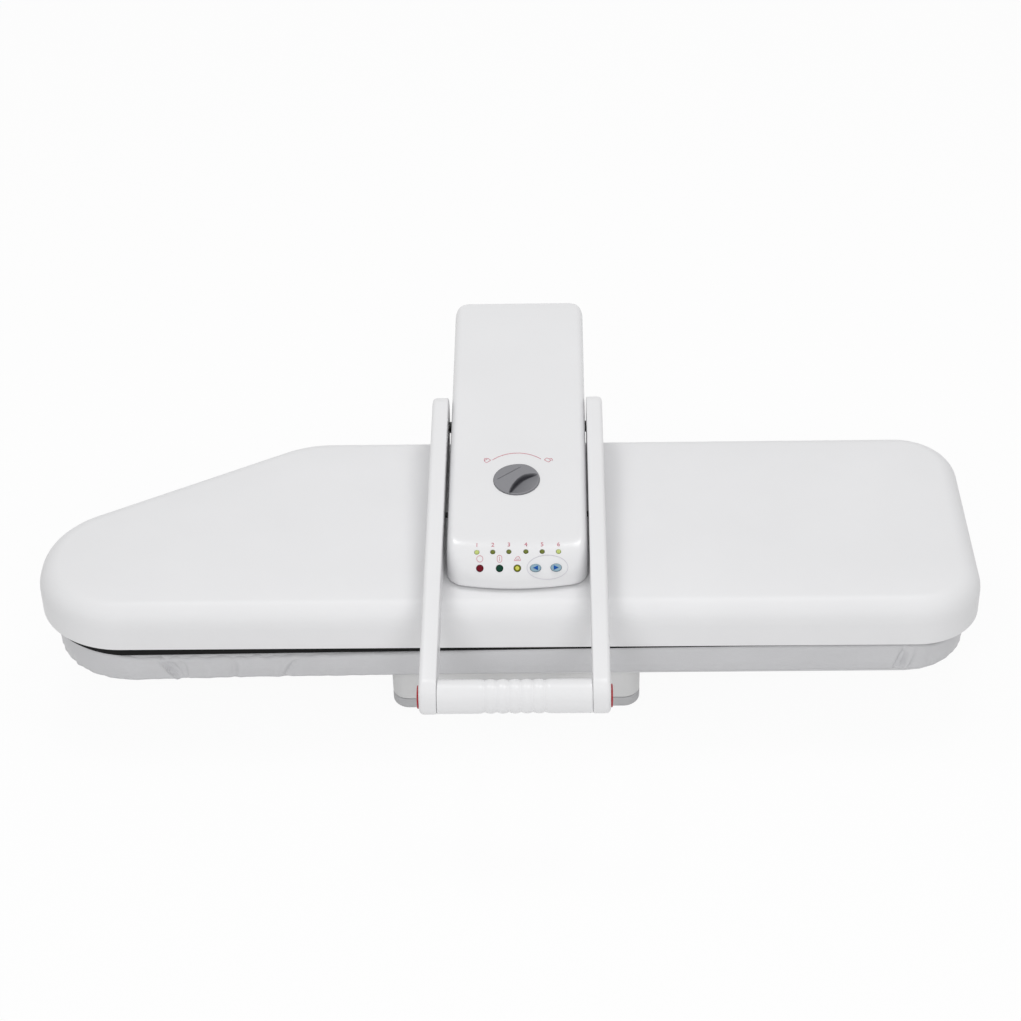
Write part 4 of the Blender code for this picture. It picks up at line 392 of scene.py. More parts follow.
# Name, colour, roughness, relief in mm, what the shader needs besides, what the tree needs besides
PLAIN = [
    ("gloss_white_plastic", (0.755, 0.755, 0.765), 0.2, 0.008, {}, dict(gloss=0.04, grain=900)),
    ("satin_white_plastic", (0.77, 0.77, 0.78), 0.42, 0.01, dict(Specular_IOR_Level=0.35),
     dict(gloss=0.05, grain=900)),
    ("handle_white_plastic", (0.765, 0.765, 0.775), 0.3, 0.012, {}, dict(gloss=0.05)),
    ("base_plastic", (0.71, 0.71, 0.71), 0.38, 0.02, {}, {}),
    ("tray_plastic", (0.53, 0.53, 0.54), 0.5, 0.03, {}, {}),
    ("foam", (0.75, 0.68, 0.45), 0.95, 0.4, {}, dict(grain=700, spread=0.08)),
    ("cast_aluminium", (0.42, 0.42, 0.43), 0.38, 0.05, METAL, dict(grain=500)),
    ("zinc_steel", (0.55, 0.55, 0.56), 0.33, 0.02, METAL,
     dict(spread=0.08, grain=400, stretch=(1, 6, 1))),
    ("painted_steel", (0.74, 0.74, 0.75), 0.35, 0.015, {}, dict(grain=700)),
    ("spring_steel", (0.2, 0.2, 0.21), 0.35, 0.01, METAL, {}),
    ("black_plastic", (0.02, 0.02, 0.02), 0.45, 0.03, {}, {}),
    # Painted shade: a near black finish for the strip that paints the dark line of shade under the
    # head's rim.
    ("matt_black_enamel", (0.008, 0.008, 0.008), 0.6, 0.02, dict(Specular_IOR_Level=0.1), {}),
    ("rubber", (0.04, 0.04, 0.04), 0.8, 0.05, {}, dict(spread=0.15)),
    ("red_plastic", (0.36, 0.022, 0.03), 0.32, 0.01, SOFT, {}),
    ("pale_blue_plastic", (0.26, 0.39, 0.47), 0.35, 0.008, SOFT, {}),
    ("silicone_hose", (0.75, 0.72, 0.66), 0.5, 0.02, {}, {}),
    ("tank_plastic", (0.55, 0.68, 0.78), 0.15, 0.01, dict(Alpha=0.8), {}),
    ("pale_red_print", (0.58, 0.17, 0.22), 0.4, 0.005, {}, UNEVEN),
    ("pale_grey_print", (0.56, 0.54, 0.60), 0.4, 0.005, {}, UNEVEN),
    ("blue_print", (0.006, 0.085, 0.37), 0.4, 0.005, dict(Specular_IOR_Level=0.2), UNEVEN),
]
PLAIN += [(look, colour, 0.25, 0.004, dict(Specular_IOR_Level=0.15), UNEVEN) for look, colour in (
    ("red_lens", (0.13, 0.002, 0.010)), ("green_lens", (0.002, 0.038, 0.020)),
    ("olive_lens", (0.14, 0.165, 0.030)), ("lit_lens", (0.50, 0.58, 0.19)))]
for look, colour, roughness, relief, constants, tree in PLAIN:
    Finish(look, colour, roughness, **constants).plain(relief * MM, **tree)
print("plain finishes:", len(FINISHES))

# %% [markdown]
# The cloth, the circuit board, the yellow lamp and the knob need trees of their own. The cloth is a
# fine twill: two slanted waves cross, and the one on top changes along both. Its threads are metal
# coated, which gives the soft silver sheen. The yellow lamp is brighter in its middle, because the
# light behind the lens is small. The knob has painted shade: it is darker in the corner of its
# scoop and along its groove. Both read that from an attribute of their points.

# %%
cloth = Finish("silver_cloth", (0.60, 0.60, 0.615), Metallic=0.25)
axes = cloth.node("ShaderNodeSeparateXYZ", {}, {"Vector": cloth.spot}, "X")
along, across, height = (Value(cloth, axes.socket.node.outputs[k]) for k in range(3))
THREAD = FULL / (1.1 * MM)
weave = ((along + across + height) * THREAD).maths("SINE")
weave = weave * ((along - across - height) * THREAD).maths("SINE")
slub = cloth.noise(260.0, 3.0, (1, 1, 3))
silver = cloth.tint(cloth.noise(14.0, 3.0) * 0.6 + slub * 0.4, 0.9, 1.07)
cloth.keep(silver, 0.34 + 0.16 * slub, weave * 0.5 + slub * 1.2, 0.12 * MM)

circuit = Finish("circuit_board")
cells = circuit.node(
    "ShaderNodeTexVoronoi", {"feature": "DISTANCE_TO_EDGE"},
    {"Vector": circuit.spot, "Scale": 330.0}, "Distance")
track = cells.maths("LESS_THAN", 0.06)
green = circuit.mix(track, (0.02, 0.16, 0.06, 1), (0.05, 0.30, 0.12, 1))
circuit.keep(green, 0.3 + 0.25 * circuit.noise(300.0), track, 0.03 * MM)

yellow = Finish("yellow_lens", Specular_IOR_Level=0.15)
ring = yellow.node("ShaderNodeAttribute", {"attribute_name": "outness"}, {}, "Fac")
glowing = yellow.mix(
    ring.maths("GREATER_THAN", 0.56), (0.58, 0.58, 0.10, 1), (0.15, 0.16, 0.012, 1))
yellow.keep(glowing, 0.2 + 0.1 * yellow.noise(700.0), yellow.noise(900.0), 0.004 * MM)

# Painted shade: the knob's grey turns near black where its attribute of painted shade is high, in
# the scoop's corner and along the groove.
grey = Finish("knob_plastic", (0.20, 0.20, 0.215))
dull = grey.node("ShaderNodeAttribute", {"attribute_name": "dull"}, {}, "Fac")
shaded_knob_colour = grey.mix(
    dull, grey.tint(grey.noise(11.0, 3.0), 0.97, 1.03), (0.035, 0.035, 0.042, 1))
grey.keep(shaded_knob_colour, 0.36 + 0.12 * grey.noise(90.0, 3.0), grey.noise(2500.0), 0.025 * MM)

for node_name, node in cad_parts.items():
    for holder in node.material_slots:
        own = holder.material.name.split(".")[0]
        holder.material = FINISHES["painted_steel" if node_name.startswith("arm_bar") else own]
print("finishes:", len(FINISHES))

# %% [markdown]
# ## Head cover
#
# A moulded shell with a 20 mm round edge and a faint crown, so that its reflections bend softly.
# It could be a thin sheet with a thickness added, but two closed rings of faces give the wall its
# true rim.

# %%
def head(inset):
    """The head's outline, moved in."""
    return long_outline(HEAD_LENGTH, HEAD_DEPTH, inset)


edge_z = HEAD_TOP_Z - HEAD_CROWN
skin = round_edge(head, HEAD_EDGE, edge_z, 14)
skin += [lift(head(HEAD_EDGE + HEAD_CROWN_WIDTH * k), HEAD_TOP_Z - HEAD_CROWN * (1 - k) ** 2)
         for k in np.linspace(0, 1, 7)[1:]]
lining = round_edge(head, HEAD_EDGE - HEAD_WALL, edge_z - HEAD_WALL, 6, start=HEAD_WALL)
rim_ease = 0.6 * MM
rim = [lift(head(HEAD_WALL), HEAD_RIM_Z + rim_ease), lift(head(HEAD_WALL - rim_ease), HEAD_RIM_Z),
       lift(head(rim_ease), HEAD_RIM_Z), lift(head(0), HEAD_RIM_Z + rim_ease)]
points, faces = loft(lining[::-1] + rim + skin)
low = np.clip((edge_z - points[:, 2]) / (edge_z - HEAD_RIM_Z), 0, 1)
points[:, 2] -= RIM_DIP * low * np.clip(0.5 + points[:, 0] / HEAD_LENGTH, 0, 1)
head_cover = solid("head_shell", (points, faces), machine=False)
hatch = rectangle(*HATCH_BOX, HATCH_CORNER)
carve(head_cover, prism(hatch, HEAD_TOP_Z - HATCH_DEPTH, HEAD_TOP_Z + OVERRUN))
dress(head_cover, "satin_white_plastic", "head", "head_cover", slot="gloss_white_plastic")

# %% [markdown]
# ## Strip of painted shade
#
# A near black strip hangs inside the head's rim, round the heated plate. It paints the dark line of
# shade between head and pad. Its foot is lowest in front on the left, where the pad lies lower. A
# plain prism would do for the strip, but then it would meet the pad on the right.

# %%
STRIP_OUT, STRIP_IN, STRIP_TOP_Z = mm(3.3, 4.9, 97)


def shade_strip_foot(inset):
    """The strip's lower edge. Only its front dips."""
    line = head(inset)
    dip = np.interp(line[:, 0] / MM, (-400, -345, -300, -200, -100, -40, 60),
                    (88.2, 83.0, 79.6, 80.2, 83.8, 86.6, 88.2)) * MM
    return np.column_stack([line, np.where(line[:, 1] < -HEAD_DEPTH / 4, dip, 88.4 * MM)])


# Painted shade: the strip stands where the gap under the rim is in shade, and its black paints that
# shade.
strip = [shade_strip_foot(STRIP_OUT), lift(head(STRIP_OUT), STRIP_TOP_Z),
         lift(head(STRIP_IN), STRIP_TOP_Z), shade_strip_foot(STRIP_IN)]
dress(solid("plate_frame", loft(strip, joined=True), machine=False), "matt_black_enamel", "head",
      slot="black_plastic")

# %% [markdown]
# ## Padded board's cloth
#
# The cloth is pulled round the board and drawn in by an elastic hem. That gathers it in short
# upright folds near the hem, while longer slack waves run along the band. In front it also
# squeezes up beside the plate to the right, and lies lower to the left. Gathers could come from a
# simulation, but these are set where the photo shows them. Waves of random length and phase make
# the rest.

# %%
def spread_evenly(outline, count):
    """An outline's points again at even steps along it."""
    closed = np.vstack([outline, outline[:1]])
    run = np.concatenate([[0], np.cumsum(np.linalg.norm(np.diff(closed, axis=0), axis=1))])
    spots = np.linspace(0, run[-1], count, endpoint=False)
    return np.stack([np.interp(spots, run, closed[:, k]) for k in (0, 1)], -1), run[-1]


def waves(place, length, shortest, longest, count):
    """A sum of sines whose waves fit the whole length, its strongest value near 1."""
    turns = np.rint(length / rng.uniform(shortest, longest, count))
    phase = rng.uniform(0, FULL, count)
    total = np.sin(FULL * turns[:, None] * place / length + phase[:, None])
    return total.sum(0) / math.sqrt(count)


def ease(share):
    """A smooth step from 0 to 1."""
    share = np.clip(share, 0, 1)
    return share * share * (3 - 2 * share)


RIM_COUNT = 1400
edge_line, edge_length = spread_evenly(long_outline(BOARD_LENGTH, BOARD_DEPTH, 0.0, 60), RIM_COUNT)
ahead = np.roll(edge_line, -1, 0) - np.roll(edge_line, 1, 0)
inward = unit(np.stack([-ahead[:, 1], ahead[:, 0]], -1))
place = edge_length * np.arange(RIM_COUNT) / RIM_COUNT
gathers = waves(place, edge_length, 9 * MM, 22 * MM, 9)
slack = waves(place, edge_length, 60 * MM, 190 * MM, 7)
ripple = waves(place, edge_length, 14 * MM, 34 * MM, 7)
facing = np.clip(inward[:, 1], 0, 1)
facing_front = ease((facing - 0.9) / 0.1)
squeezed = facing_front * ease((edge_line[:, 0] + 90 * MM) / (150 * MM)) * 3.6 * MM
lowered = facing_front * MM * np.interp(
    edge_line[:, 0] / MM, (-350, -325, -210, -100, -60), (0, 4.4, 4, 1.6, 0))
lean = MM * np.interp(edge_line[:, 0] / MM, (-400, -317, -230, -143, 161, 317),
                      (-2.6, -2.2, -0.2, 0.5, 2.7, 3.0))
rippled = np.exp(-((edge_line[:, 0] + 248 * MM) / (75 * MM)) ** 2) * facing_front
SIDE_DRAW, TOP_SINK, HEM_DROP = mm(1.4, 0.5, 0.5)
SLACK_HEIGHT, FOLD_HEIGHT, RIPPLE_HEIGHT = mm(0.6, 2.3, 0.8)
# Folds in front: place in mm at the hem and at the top edge, width in mm and share of the height
FOLDS = (
    (-291, -304, 2.0, 1.7), (-286, -298, 2.6, -1.0), (-282, -286, 1.8, -1.0), (-326, -336, 6, 0.7),
    (-264, -260, 4, 0.7), (-241, -239, 2.5, -0.8), (-235, -232, 3, 0.6), (-202, -190, 3.5, 0.9),
    (-195, -183, 4, -0.9), (-150, -146, 7, 0.5), (150, 158, 10, 0.5), (268, 262, 8, -0.5),
    (300, 292, 7, 0.5), (339, 346, 2.2, -1.6), (346, 353, 2.8, 1.6), (364, 366, 5, 0.7),
    (-366, -360, 6, 0.8),
)


def cloth_ring(rise, inset, height, folded):
    """One line round the cloth. Gathers fade upwards, slack is widest half way up."""
    out = gathers * (0.55 - 0.42 * facing_front) * MM * (1 - rise) ** 2
    out = out + slack * SLACK_HEIGHT * np.sin(math.pi * min(rise, 1.0)) ** 2
    swell = FOLD_HEIGHT * facing_front * math.sin(math.pi * min(0.12 + 0.8 * rise, 1.0))
    for low_x, high_x, width, share in FOLDS:
        middle = (low_x + (high_x - low_x) * rise) * MM
        out = out + share * swell * np.exp(-((edge_line[:, 0] - middle) / (width * MM)) ** 2)
    out = out * folded
    up = squeezed - lowered + ripple * rippled * RIPPLE_HEIGHT
    up = folded * rise ** 4 * up + lean * (1 - rise)
    flat = edge_line + inward * (inset - out)[:, None]
    return np.column_stack([flat, np.full(RIM_COUNT, height) + up])


side_top = PAD_TOP_Z - PAD_EDGE
rises = np.linspace(0, 1, 16)
draw = SIDE_DRAW * (1 - ease(rises / 0.5))
rings = [cloth_ring(rise, inset, PAD_HEM_Z + (side_top - PAD_HEM_Z) * rise, 1.0)
         for rise, inset in zip(rises, draw)]
for side, down in quarter_turn(8)[1:]:
    rings.append(cloth_ring(1.0, PAD_EDGE * side, PAD_TOP_Z - TOP_SINK - PAD_EDGE * down, 1.0))
for share in np.linspace(0, 1, 5)[1:]:
    rings.append(cloth_ring(
        1.0, PAD_EDGE + 3 * MM * share, PAD_TOP_Z - TOP_SINK, float(1 - share) ** 1.5))
rings += [cloth_ring(1.0, PAD_EDGE + inset * MM, PAD_TOP_Z - TOP_SINK * (1 - inset / 14), 0.0)
          for inset in (6, 14)]
hem_roll = [cloth_ring(0.0, SIDE_DRAW + PAD_CLOTH / 2, PAD_HEM_Z - HEM_DROP, 1.0),
            cloth_ring(0.0, SIDE_DRAW + PAD_CLOTH, PAD_HEM_Z + 0.3 * MM, 0.6)]
lining = [cloth_ring(1.0, inset * MM, PAD_HEM_Z + height * MM, 0.0) for inset, height in (
    (2.0, 6), (1.6, 14), (1.5, 21), (3.2, 25.2), (8, 26.2), (20, 26.6))]
pad = solid("pad_cloth", loft(lining[::-1] + hem_roll[::-1] + rings), machine=False)
dress(pad, "silver_cloth", "base", "pad_cover", sharp=60)

# %% [markdown]
# ## Base
#
# Two halves meet at a seam: a housing with a round upper edge, and a shallow darker tray. Two boxes
# with bevels would be quicker, but with rings each edge and both lips of the seam keep their own
# radius.

# %%
REAR_FALL, SEAM_EASE, SEAM_GAP = mm(2, 1.1, 0.8)
TRAY_EDGE, TRAY_FLOOR = mm(3.5, 2.5)
INLET_BOX = mm(47.7, 21.2, 76.3, 42.8)
INLET_CORNER, INLET_DEPTH = mm(3, 8)


def base(inset):
    """The base's rounded rectangle, moved in."""
    return rectangle(BASE_LEFT_X + inset, BASE_FRONT_Y + inset, BASE_RIGHT_X - inset,
                     BASE_REAR_Y - inset, max(BASE_CORNER - inset, GAP), 14)


def base_top(inset, depth):
    """One line of the housing's upper part, which falls a little behind the column."""
    line = base(inset)
    fall = REAR_FALL * ease((line[:, 1] - HINGE_Y - 1 * MM) / (22 * MM))
    return np.column_stack([line, BASE_TOP_Z - depth - fall])


housing_low = SEAM_Z + SEAM_GAP
skin = [base_top(BASE_EDGE * side, BASE_EDGE * down) for side, down in quarter_turn(10)]
inner_edge = BASE_EDGE - BASE_WALL
lining = [base_top(BASE_WALL + inner_edge * side, BASE_WALL + inner_edge * down)
          for side, down in quarter_turn(5)]
rim = [lift(base(BASE_WALL), housing_low), lift(base(SEAM_EASE), housing_low),
       lift(base(0), housing_low + SEAM_EASE)]
housing = solid("base_shell", loft(lining[::-1] + rim + skin))
inlet = rectangle(*INLET_BOX, INLET_CORNER)
carve(housing, prism(inlet, BASE_REAR_Y - INLET_DEPTH, BASE_REAR_Y + OVERRUN, "y"))
dress(housing, "base_plastic", "base", "base_housing")

skin = round_edge(base, TRAY_EDGE, TRAY_LOW_Z, 6, way=1)
rim = [lift(base(0), SEAM_Z - SEAM_EASE), lift(base(SEAM_EASE), SEAM_Z),
       lift(base(TRAY_FLOOR), SEAM_Z)]
floor_ring = [lift(base(TRAY_EDGE), TRAY_LOW_Z + TRAY_FLOOR)]
tray = solid("base_pan", loft(floor_ring + rim[::-1] + skin))
dress(tray, "tray_plastic", "base", "base_tray")

FOOT_PROFILE = np.array([(8, 0.5), (9, 0), (12.4, 0), (12.8, 0.2), (13, 0.6), (13, 2.7)]) * MM
for end, foot_y in (("front", BASE_FRONT_Y + FOOT_INSET), ("rear", BASE_REAR_Y - FOOT_INSET)):
    for hand, foot_x in (("left", -FOOT_X), ("right", FOOT_X)):
        shape = turned(FOOT_PROFILE, Matrix.Translation((foot_x, foot_y, 0)))
        foot_name = f"foot_{end}_{hand}"
        dress(solid(f"{foot_name}_pad", shape), "rubber", "base", foot_name)

# %% [markdown]
# ## Column cover
#
# The hump behind the board hides the hinge and its springs. A half cylinder on a box would give the
# same outline, but one side view carried across has no joint to hide. Its side edges are rounded by
# carrying the outline in as the body ends.

# %%
def hump(radius, foot_z):
    """Straight sides under a half circle, seen from the side."""
    top = (HINGE_Y, HINGE_Z) + radius * around(np.linspace(0, math.pi, 37))
    return np.vstack([[(HINGE_Y - radius, foot_z), (HINGE_Y + radius, foot_z)], top])


COLUMN_EDGE, COLUMN_WALL, HOLLOW_SHARE = 3 * MM, 2 * MM, 0.9524
PIN_HOLE, SLOT_HALF, SLOT_REACH, SLOT_BACK = mm(5.3, 8, 30, 4)
levels = [(COLUMN_RADIUS - COLUMN_EDGE * side, COLUMN_HALF - COLUMN_EDGE * down)
          for side, down in quarter_turn(6)]
sections = [lift(hump(radius, BASE_TOP_Z + GAP), -x, "x") for radius, x in levels[::-1]]
sections += [lift(hump(radius, BASE_TOP_Z + GAP), x, "x") for radius, x in levels]
column = solid("column_shell", loft(sections))
across_x = np.array([-1, 1]) * COLUMN_HALF
slot_box = rectangle(HINGE_Y - SLOT_REACH, HINGE_Z, HINGE_Y + SLOT_BACK, HINGE_Z + SLOT_REACH)
hollow = hump(COLUMN_RADIUS - COLUMN_WALL, BASE_TOP_Z - OVERRUN)
carve(
    column, prism(hollow, *(across_x * HOLLOW_SHARE), "x"),
    prism(circle(PIN_HOLE, 32, (HINGE_Y, HINGE_Z)), *(across_x * 1.2), "x"),
    prism(slot_box, -SLOT_HALF, SLOT_HALF, "x"))
dress(column, "gloss_white_plastic", "base", "column_cover")

# %% [markdown]
# ## Console
#
# One height rule makes the whole shell: a side view with a quarter round front and a sloping top,
# drawn again at each place across, while its edges turn down and its front bows back. The same
# rule, moved in by the wall, makes the hollow. Holes for lamps, buttons, knob, bolts, shaft and
# tank are cut through both.

# %%
def rounding(distance, radius):
    """How far a round edge has fallen at a distance past its start."""
    reach = np.clip(distance, 0, radius)
    return radius - np.sqrt(radius * radius - reach * reach)


def panel_height(y):
    """Height of the sloping top."""
    return KNOB_Z + (y - KNOB_Y) * math.tan(TILT)


def console_section(x, half, inset, foot_z, rear_z):
    """The side view at a place across, from front foot to rear foot."""
    drop = rounding(abs(x) - half + CONSOLE_EDGE - inset, CONSOLE_EDGE - inset) + inset
    front = rounding(abs(x) - half + CONSOLE_CORNER - inset, CONSOLE_CORNER - inset) + inset
    front = front + BOW * (x / BOW_SPAN) ** 2
    rear_y = REAR_Y - inset - rounding(abs(x) - half + REAR_CORNER - inset, REAR_CORNER - inset)
    ball = REAR_ROUND - inset
    turn = QUARTER + (TILT - QUARTER) * np.linspace(0, 1, 36) ** 1.5
    reach, rise = FRONT_RADIUS - front, ARC_RISE - drop
    nose = np.stack([ARC_Y - reach * np.sin(turn), CONSOLE_Z + rise * np.cos(turn)], -1)
    if foot_z >= CONSOLE_Z:
        nose[:, 0] += rounding(CONSOLE_LIP - (nose[:, 1] - CONSOLE_Z), CONSOLE_LIP)
    crest_y = rear_y - ball
    crest_z = panel_height(crest_y) - drop - ball
    top_y = np.linspace(nose[-1, 0], crest_y, 40)[1:-1]
    share = (top_y - nose[-1, 0]) / (crest_y - nose[-1, 0])
    top_z = nose[-1, 1] + (crest_z + ball - nose[-1, 1]) * share
    turn = np.minimum(TILT + QUARTER * np.linspace(1, 0, 9), QUARTER)
    heel = (crest_y, crest_z) + ball * around(turn)
    foot = [(ARC_Y - reach, foot_z)] if foot_z < CONSOLE_Z else np.empty((0, 2))
    return np.vstack([foot, nose, np.stack([top_y, top_z], -1), heel, [(rear_y, rear_z)]])


def console_body(inset, foot_z, rear_z, floor):
    """A closed body through the side views, a little wider on the right. floor goes back from the
    rear foot to the front one."""
    half, corner = CONSOLE_HALF - inset, CONSOLE_CORNER - inset
    curved = half - corner + corner * np.sin(QUARTER * np.linspace(0, 1, 15))[1:]
    flat = np.linspace(corner - half, half - corner, 41)
    stations = np.concatenate([-curved[::-1], flat, curved])
    floor = np.asarray(floor, float).reshape(-1, 2)
    wider = stations + WIDER_RIGHT * ease((stations - 42 * MM) / (12 * MM))
    rings = [lift(np.vstack([console_section(x, half, inset, foot_z, rear_z), floor]), place, "x")
             for x, place in zip(stations, wider)]
    return loft(rings)


def front_place(angle, x):
    """A matrix on the rounded front: Z stands out of the surface and X runs across. A row droops
    with the square of the way across, so that it looks straight from the front."""
    angle += ROW_DROOP * (x / ROW_SPAN) ** 2
    reach = FRONT_RADIUS - BOW * (x / BOW_SPAN) ** 2
    spot = Vector((x, ARC_Y - reach * math.sin(angle), CONSOLE_Z + ARC_RISE * math.cos(angle)))
    out = Vector((0, -math.sin(angle) / reach, math.cos(angle) / ARC_RISE)).normalized()
    side = Vector((1, 0, 0))
    turn = Matrix((side, out.cross(side), out)).transposed().to_4x4()
    return Matrix.Translation(spot) @ turn


def front_hole(radius, angle, x, stretch=(1.0, 1.0)):
    """A hole for a lamp or button, with play all round."""
    profile = ((radius + GAP, -LAMP_DEPTH), (radius + GAP, OVERRUN))
    return turned(profile, front_place(angle, x), stretch=stretch)


SIDE_HOLE_FROM, SIDE_HOLE_TO, KNOB_WELL, TANK_MOUTH = mm(53, 66, 7, 9)
RAIL_INNER_X, RAIL_OUTER_X, RAIL_FRONT_Y = mm(42.6, 59.4, 191)
RAIL_LOW_Z, RAIL_TOP_Z = mm(120.3, 123.7)
console = solid("console_body", console_body(0.0, CONSOLE_Z, REAR_WALL_Z, [
    (REAR_Y - SKIRT_SLOPE, SKIRT_Z), (SKIRT_FRONT_Y, SKIRT_Z), (SKIRT_FRONT_Y, CONSOLE_Z)]))
carve(console, console_body(CONSOLE_WALL, SKIRT_Z - OVERRUN, SKIRT_Z - OVERRUN, []))
knob_place = Matrix.Translation((0, KNOB_Y, KNOB_Z)) @ Matrix.Rotation(TILT, 4, "X")
button_shape = (1.0, (BUTTON_HALF_HEIGHT + GAP) / (BUTTON_HALF_WIDTH + GAP))
holes = [front_hole(SMALL_LAMP, SMALL_ANGLE, x) for x in SMALL_LAMP_X]
holes += [front_hole(BIG_LAMP, BIG_ANGLE, x) for x in BIG_LAMP_X]
holes += [front_hole(BUTTON_HALF_WIDTH, BIG_ANGLE, x, button_shape) for x in SET_BUTTON_X]
well = ((KNOB_RADIUS + GAP, -KNOB_WELL), (KNOB_RADIUS + GAP, OVERRUN))
holes.append(turned(well, knob_place, 128))
bolt_spot = knob_place @ Vector((0, -BOLT_FORWARD, -BOLT_SINK))
rails = []
for side in (-1, 1):
    low, high = sorted((side * SIDE_HOLE_FROM, side * SIDE_HOLE_TO))
    holes.append(prism(circle(BOLT_RADIUS + GAP, 32, bolt_spot.yz), low, high, "x"))
    holes.append(prism(circle(BUSH_RADIUS + GAP, 40, (SHAFT_Y, SHAFT_Z)), low, high, "x"))
    low, high = sorted((side * RAIL_INNER_X, side * RAIL_OUTER_X))
    rail = rectangle(low, RAIL_LOW_Z, high, RAIL_TOP_Z)
    rails.append(prism(rail, RAIL_FRONT_Y, REAR_Y - REAR_CORNER, "y"))
mouth = rectangle(-TANK_HALF - 2 * GAP, TANK_LOW_Z - 2 * GAP, TANK_HALF + 2 * GAP,
                  TANK_TOP_Z + 2 * GAP, TANK_CORNER + 2 * GAP)
holes.append(prism(mouth, REAR_Y - TANK_MOUTH, REAR_Y + OVERRUN, "y"))
carve(console, together(holes))
carve(console, together(rails), operation="UNION")
dress(console, "gloss_white_plastic", "head", "console_shell", sharp=30)

# %% [markdown]
# ## Lamps, buttons and knob
#
# Lamps are shallow domes. The knob is a height map in rings round its middle: a deep crescent for
# the thumb on the near side of its bar, a groove on the far side. Cutting it with a second body
# would work too, but one rule for the height keeps the scoop's floor smooth.

# %%
def dome(radius, depth, proud, steps=12):
    """A dome's (radius, height) pairs over a straight skirt."""
    turn = np.linspace(0, QUARTER * 0.985, steps)
    skirt = np.array([(radius, -depth), (radius, -0.15 * MM)])
    return np.vstack([skirt, around(turn) * (radius, proud)])


def cap(radius, foot, face, steps, middle, rise):
    """A button's (radius, height) pairs: a wall, a round edge and a faint rise to the middle."""
    edge = [(radius - CAP_EDGE * side, face - CAP_EDGE * down)
            for side, down in quarter_turn(steps)]
    return [(radius, foot), *edge, (radius * middle, face + rise)]


CAP_EDGE, SET_DEPTH = mm(0.7, 6)
lamps = [(f"level_lamp_{k + 1}", x, SMALL_ANGLE, SMALL_LAMP, "olive_lens")
         for k, x in enumerate(SMALL_LAMP_X)]
lamps[0], lamps[5] = (*lamps[0][:4], "lit_lens"), (*lamps[5][:4], "lit_lens")
lamps += [(name, x, BIG_ANGLE, BIG_LAMP, lens) for x, (name, lens) in zip(BIG_LAMP_X, (
    ("power_lamp", "red_lens"), ("heat_lamp", "green_lens"), ("steam_lamp", "yellow_lens")))]
for lamp_name, x, angle, radius, lens in lamps:
    where = front_place(angle, x)
    lamp = solid(f"{lamp_name}_lens", turned(dome(radius, LAMP_DEPTH, LAMP_PROUD), where))
    if lens == "yellow_lens":
        points = np.empty(len(lamp.data.vertices) * 3)
        lamp.data.vertices.foreach_get("co", points)
        middle = where.translation + Vector((MACHINE_X, 0, 0))
        local = (points.reshape(-1, 3) - middle) @ np.array(where.to_3x3())
        outness = lamp.data.attributes.new("outness", "FLOAT", "POINT")
        outness.data.foreach_set("value", np.hypot(local[:, 0], local[:, 1]) / radius)
    dress(lamp, lens, "head", lamp_name)

profile = cap(BUTTON_HALF_WIDTH, -SET_DEPTH, BUTTON_PROUD, 6, 0.5, 0.06 * MM)
button_shape = (1, BUTTON_HALF_HEIGHT / BUTTON_HALF_WIDTH)
for button, x in zip(("set_button_left", "set_button_right"), SET_BUTTON_X):
    shape = turned(profile, front_place(BIG_ANGLE, x), 64, button_shape)
    dress(solid(button.replace("button", "cap"), shape), "pale_blue_plastic", button, button)

RIDGE_TURN, KNOB_EDGE, KNOB_BORE = math.radians(42), 0.6 * MM, 3.3 * MM
FACE_RIM, WAIST, SCOOP_DEPTH = KNOB_RADIUS - 1.2 * MM, 5.5 * MM, 6.2 * MM
LINE_OFF, LINE_WIDTH, LINE_DEPTH = mm(10.25, 0.45, 0.8)


def knob_face(x, y):
    """Height of the knob's face, and its painted shade, darkest in the scoop's corner and groove.
    The thumb's scoop is deepest against the bar's waisted flank and rises to the rim. On the far
    side a groove runs along the bar."""
    ridge = x * math.cos(RIDGE_TURN) + y * math.sin(RIDGE_TURN)
    off = y * math.cos(RIDGE_TURN) - x * math.sin(RIDGE_TURN)
    edge = np.sqrt(np.maximum(FACE_RIM * FACE_RIM - ridge * ridge, (2 * MM) ** 2))
    past_waist = (ridge - WAIST) / MM
    flank = (0.2 + np.where(past_waist < 0, 0.0173, 0.047) * past_waist ** 2) * MM
    past = -off - flank
    run = np.clip(past / np.maximum(edge - flank, 1 * MM), 0, 1)
    deep = SCOOP_DEPTH * np.clip(1 - (ridge / (FACE_RIM * 0.92)) ** 2, 0, 1) ** 0.6
    scoop = deep * ease(past / (0.7 * MM)) * (1 - run ** 1.6)
    beyond = off + 0.067 * ridge - LINE_OFF
    groove = np.exp(-(beyond / LINE_WIDTH) ** 2) * ease((FACE_RIM * 0.8 - np.abs(ridge)) / (4 * MM))
    height = KNOB_PROUD - scoop - LINE_DEPTH * groove - 0.12 * np.clip(beyond, 0, None)
    # Painted shade: the scoop's corner, and the groove at 0.6, are marked to be painted darker.
    corner = ease(past / (0.4 * MM)) * (1 - ease((past - 0.8 * MM) / (2.4 * MM)))
    return height, np.clip(corner * np.clip(deep / (3 * MM), 0, 1) + 0.6 * groove, 0, 1)


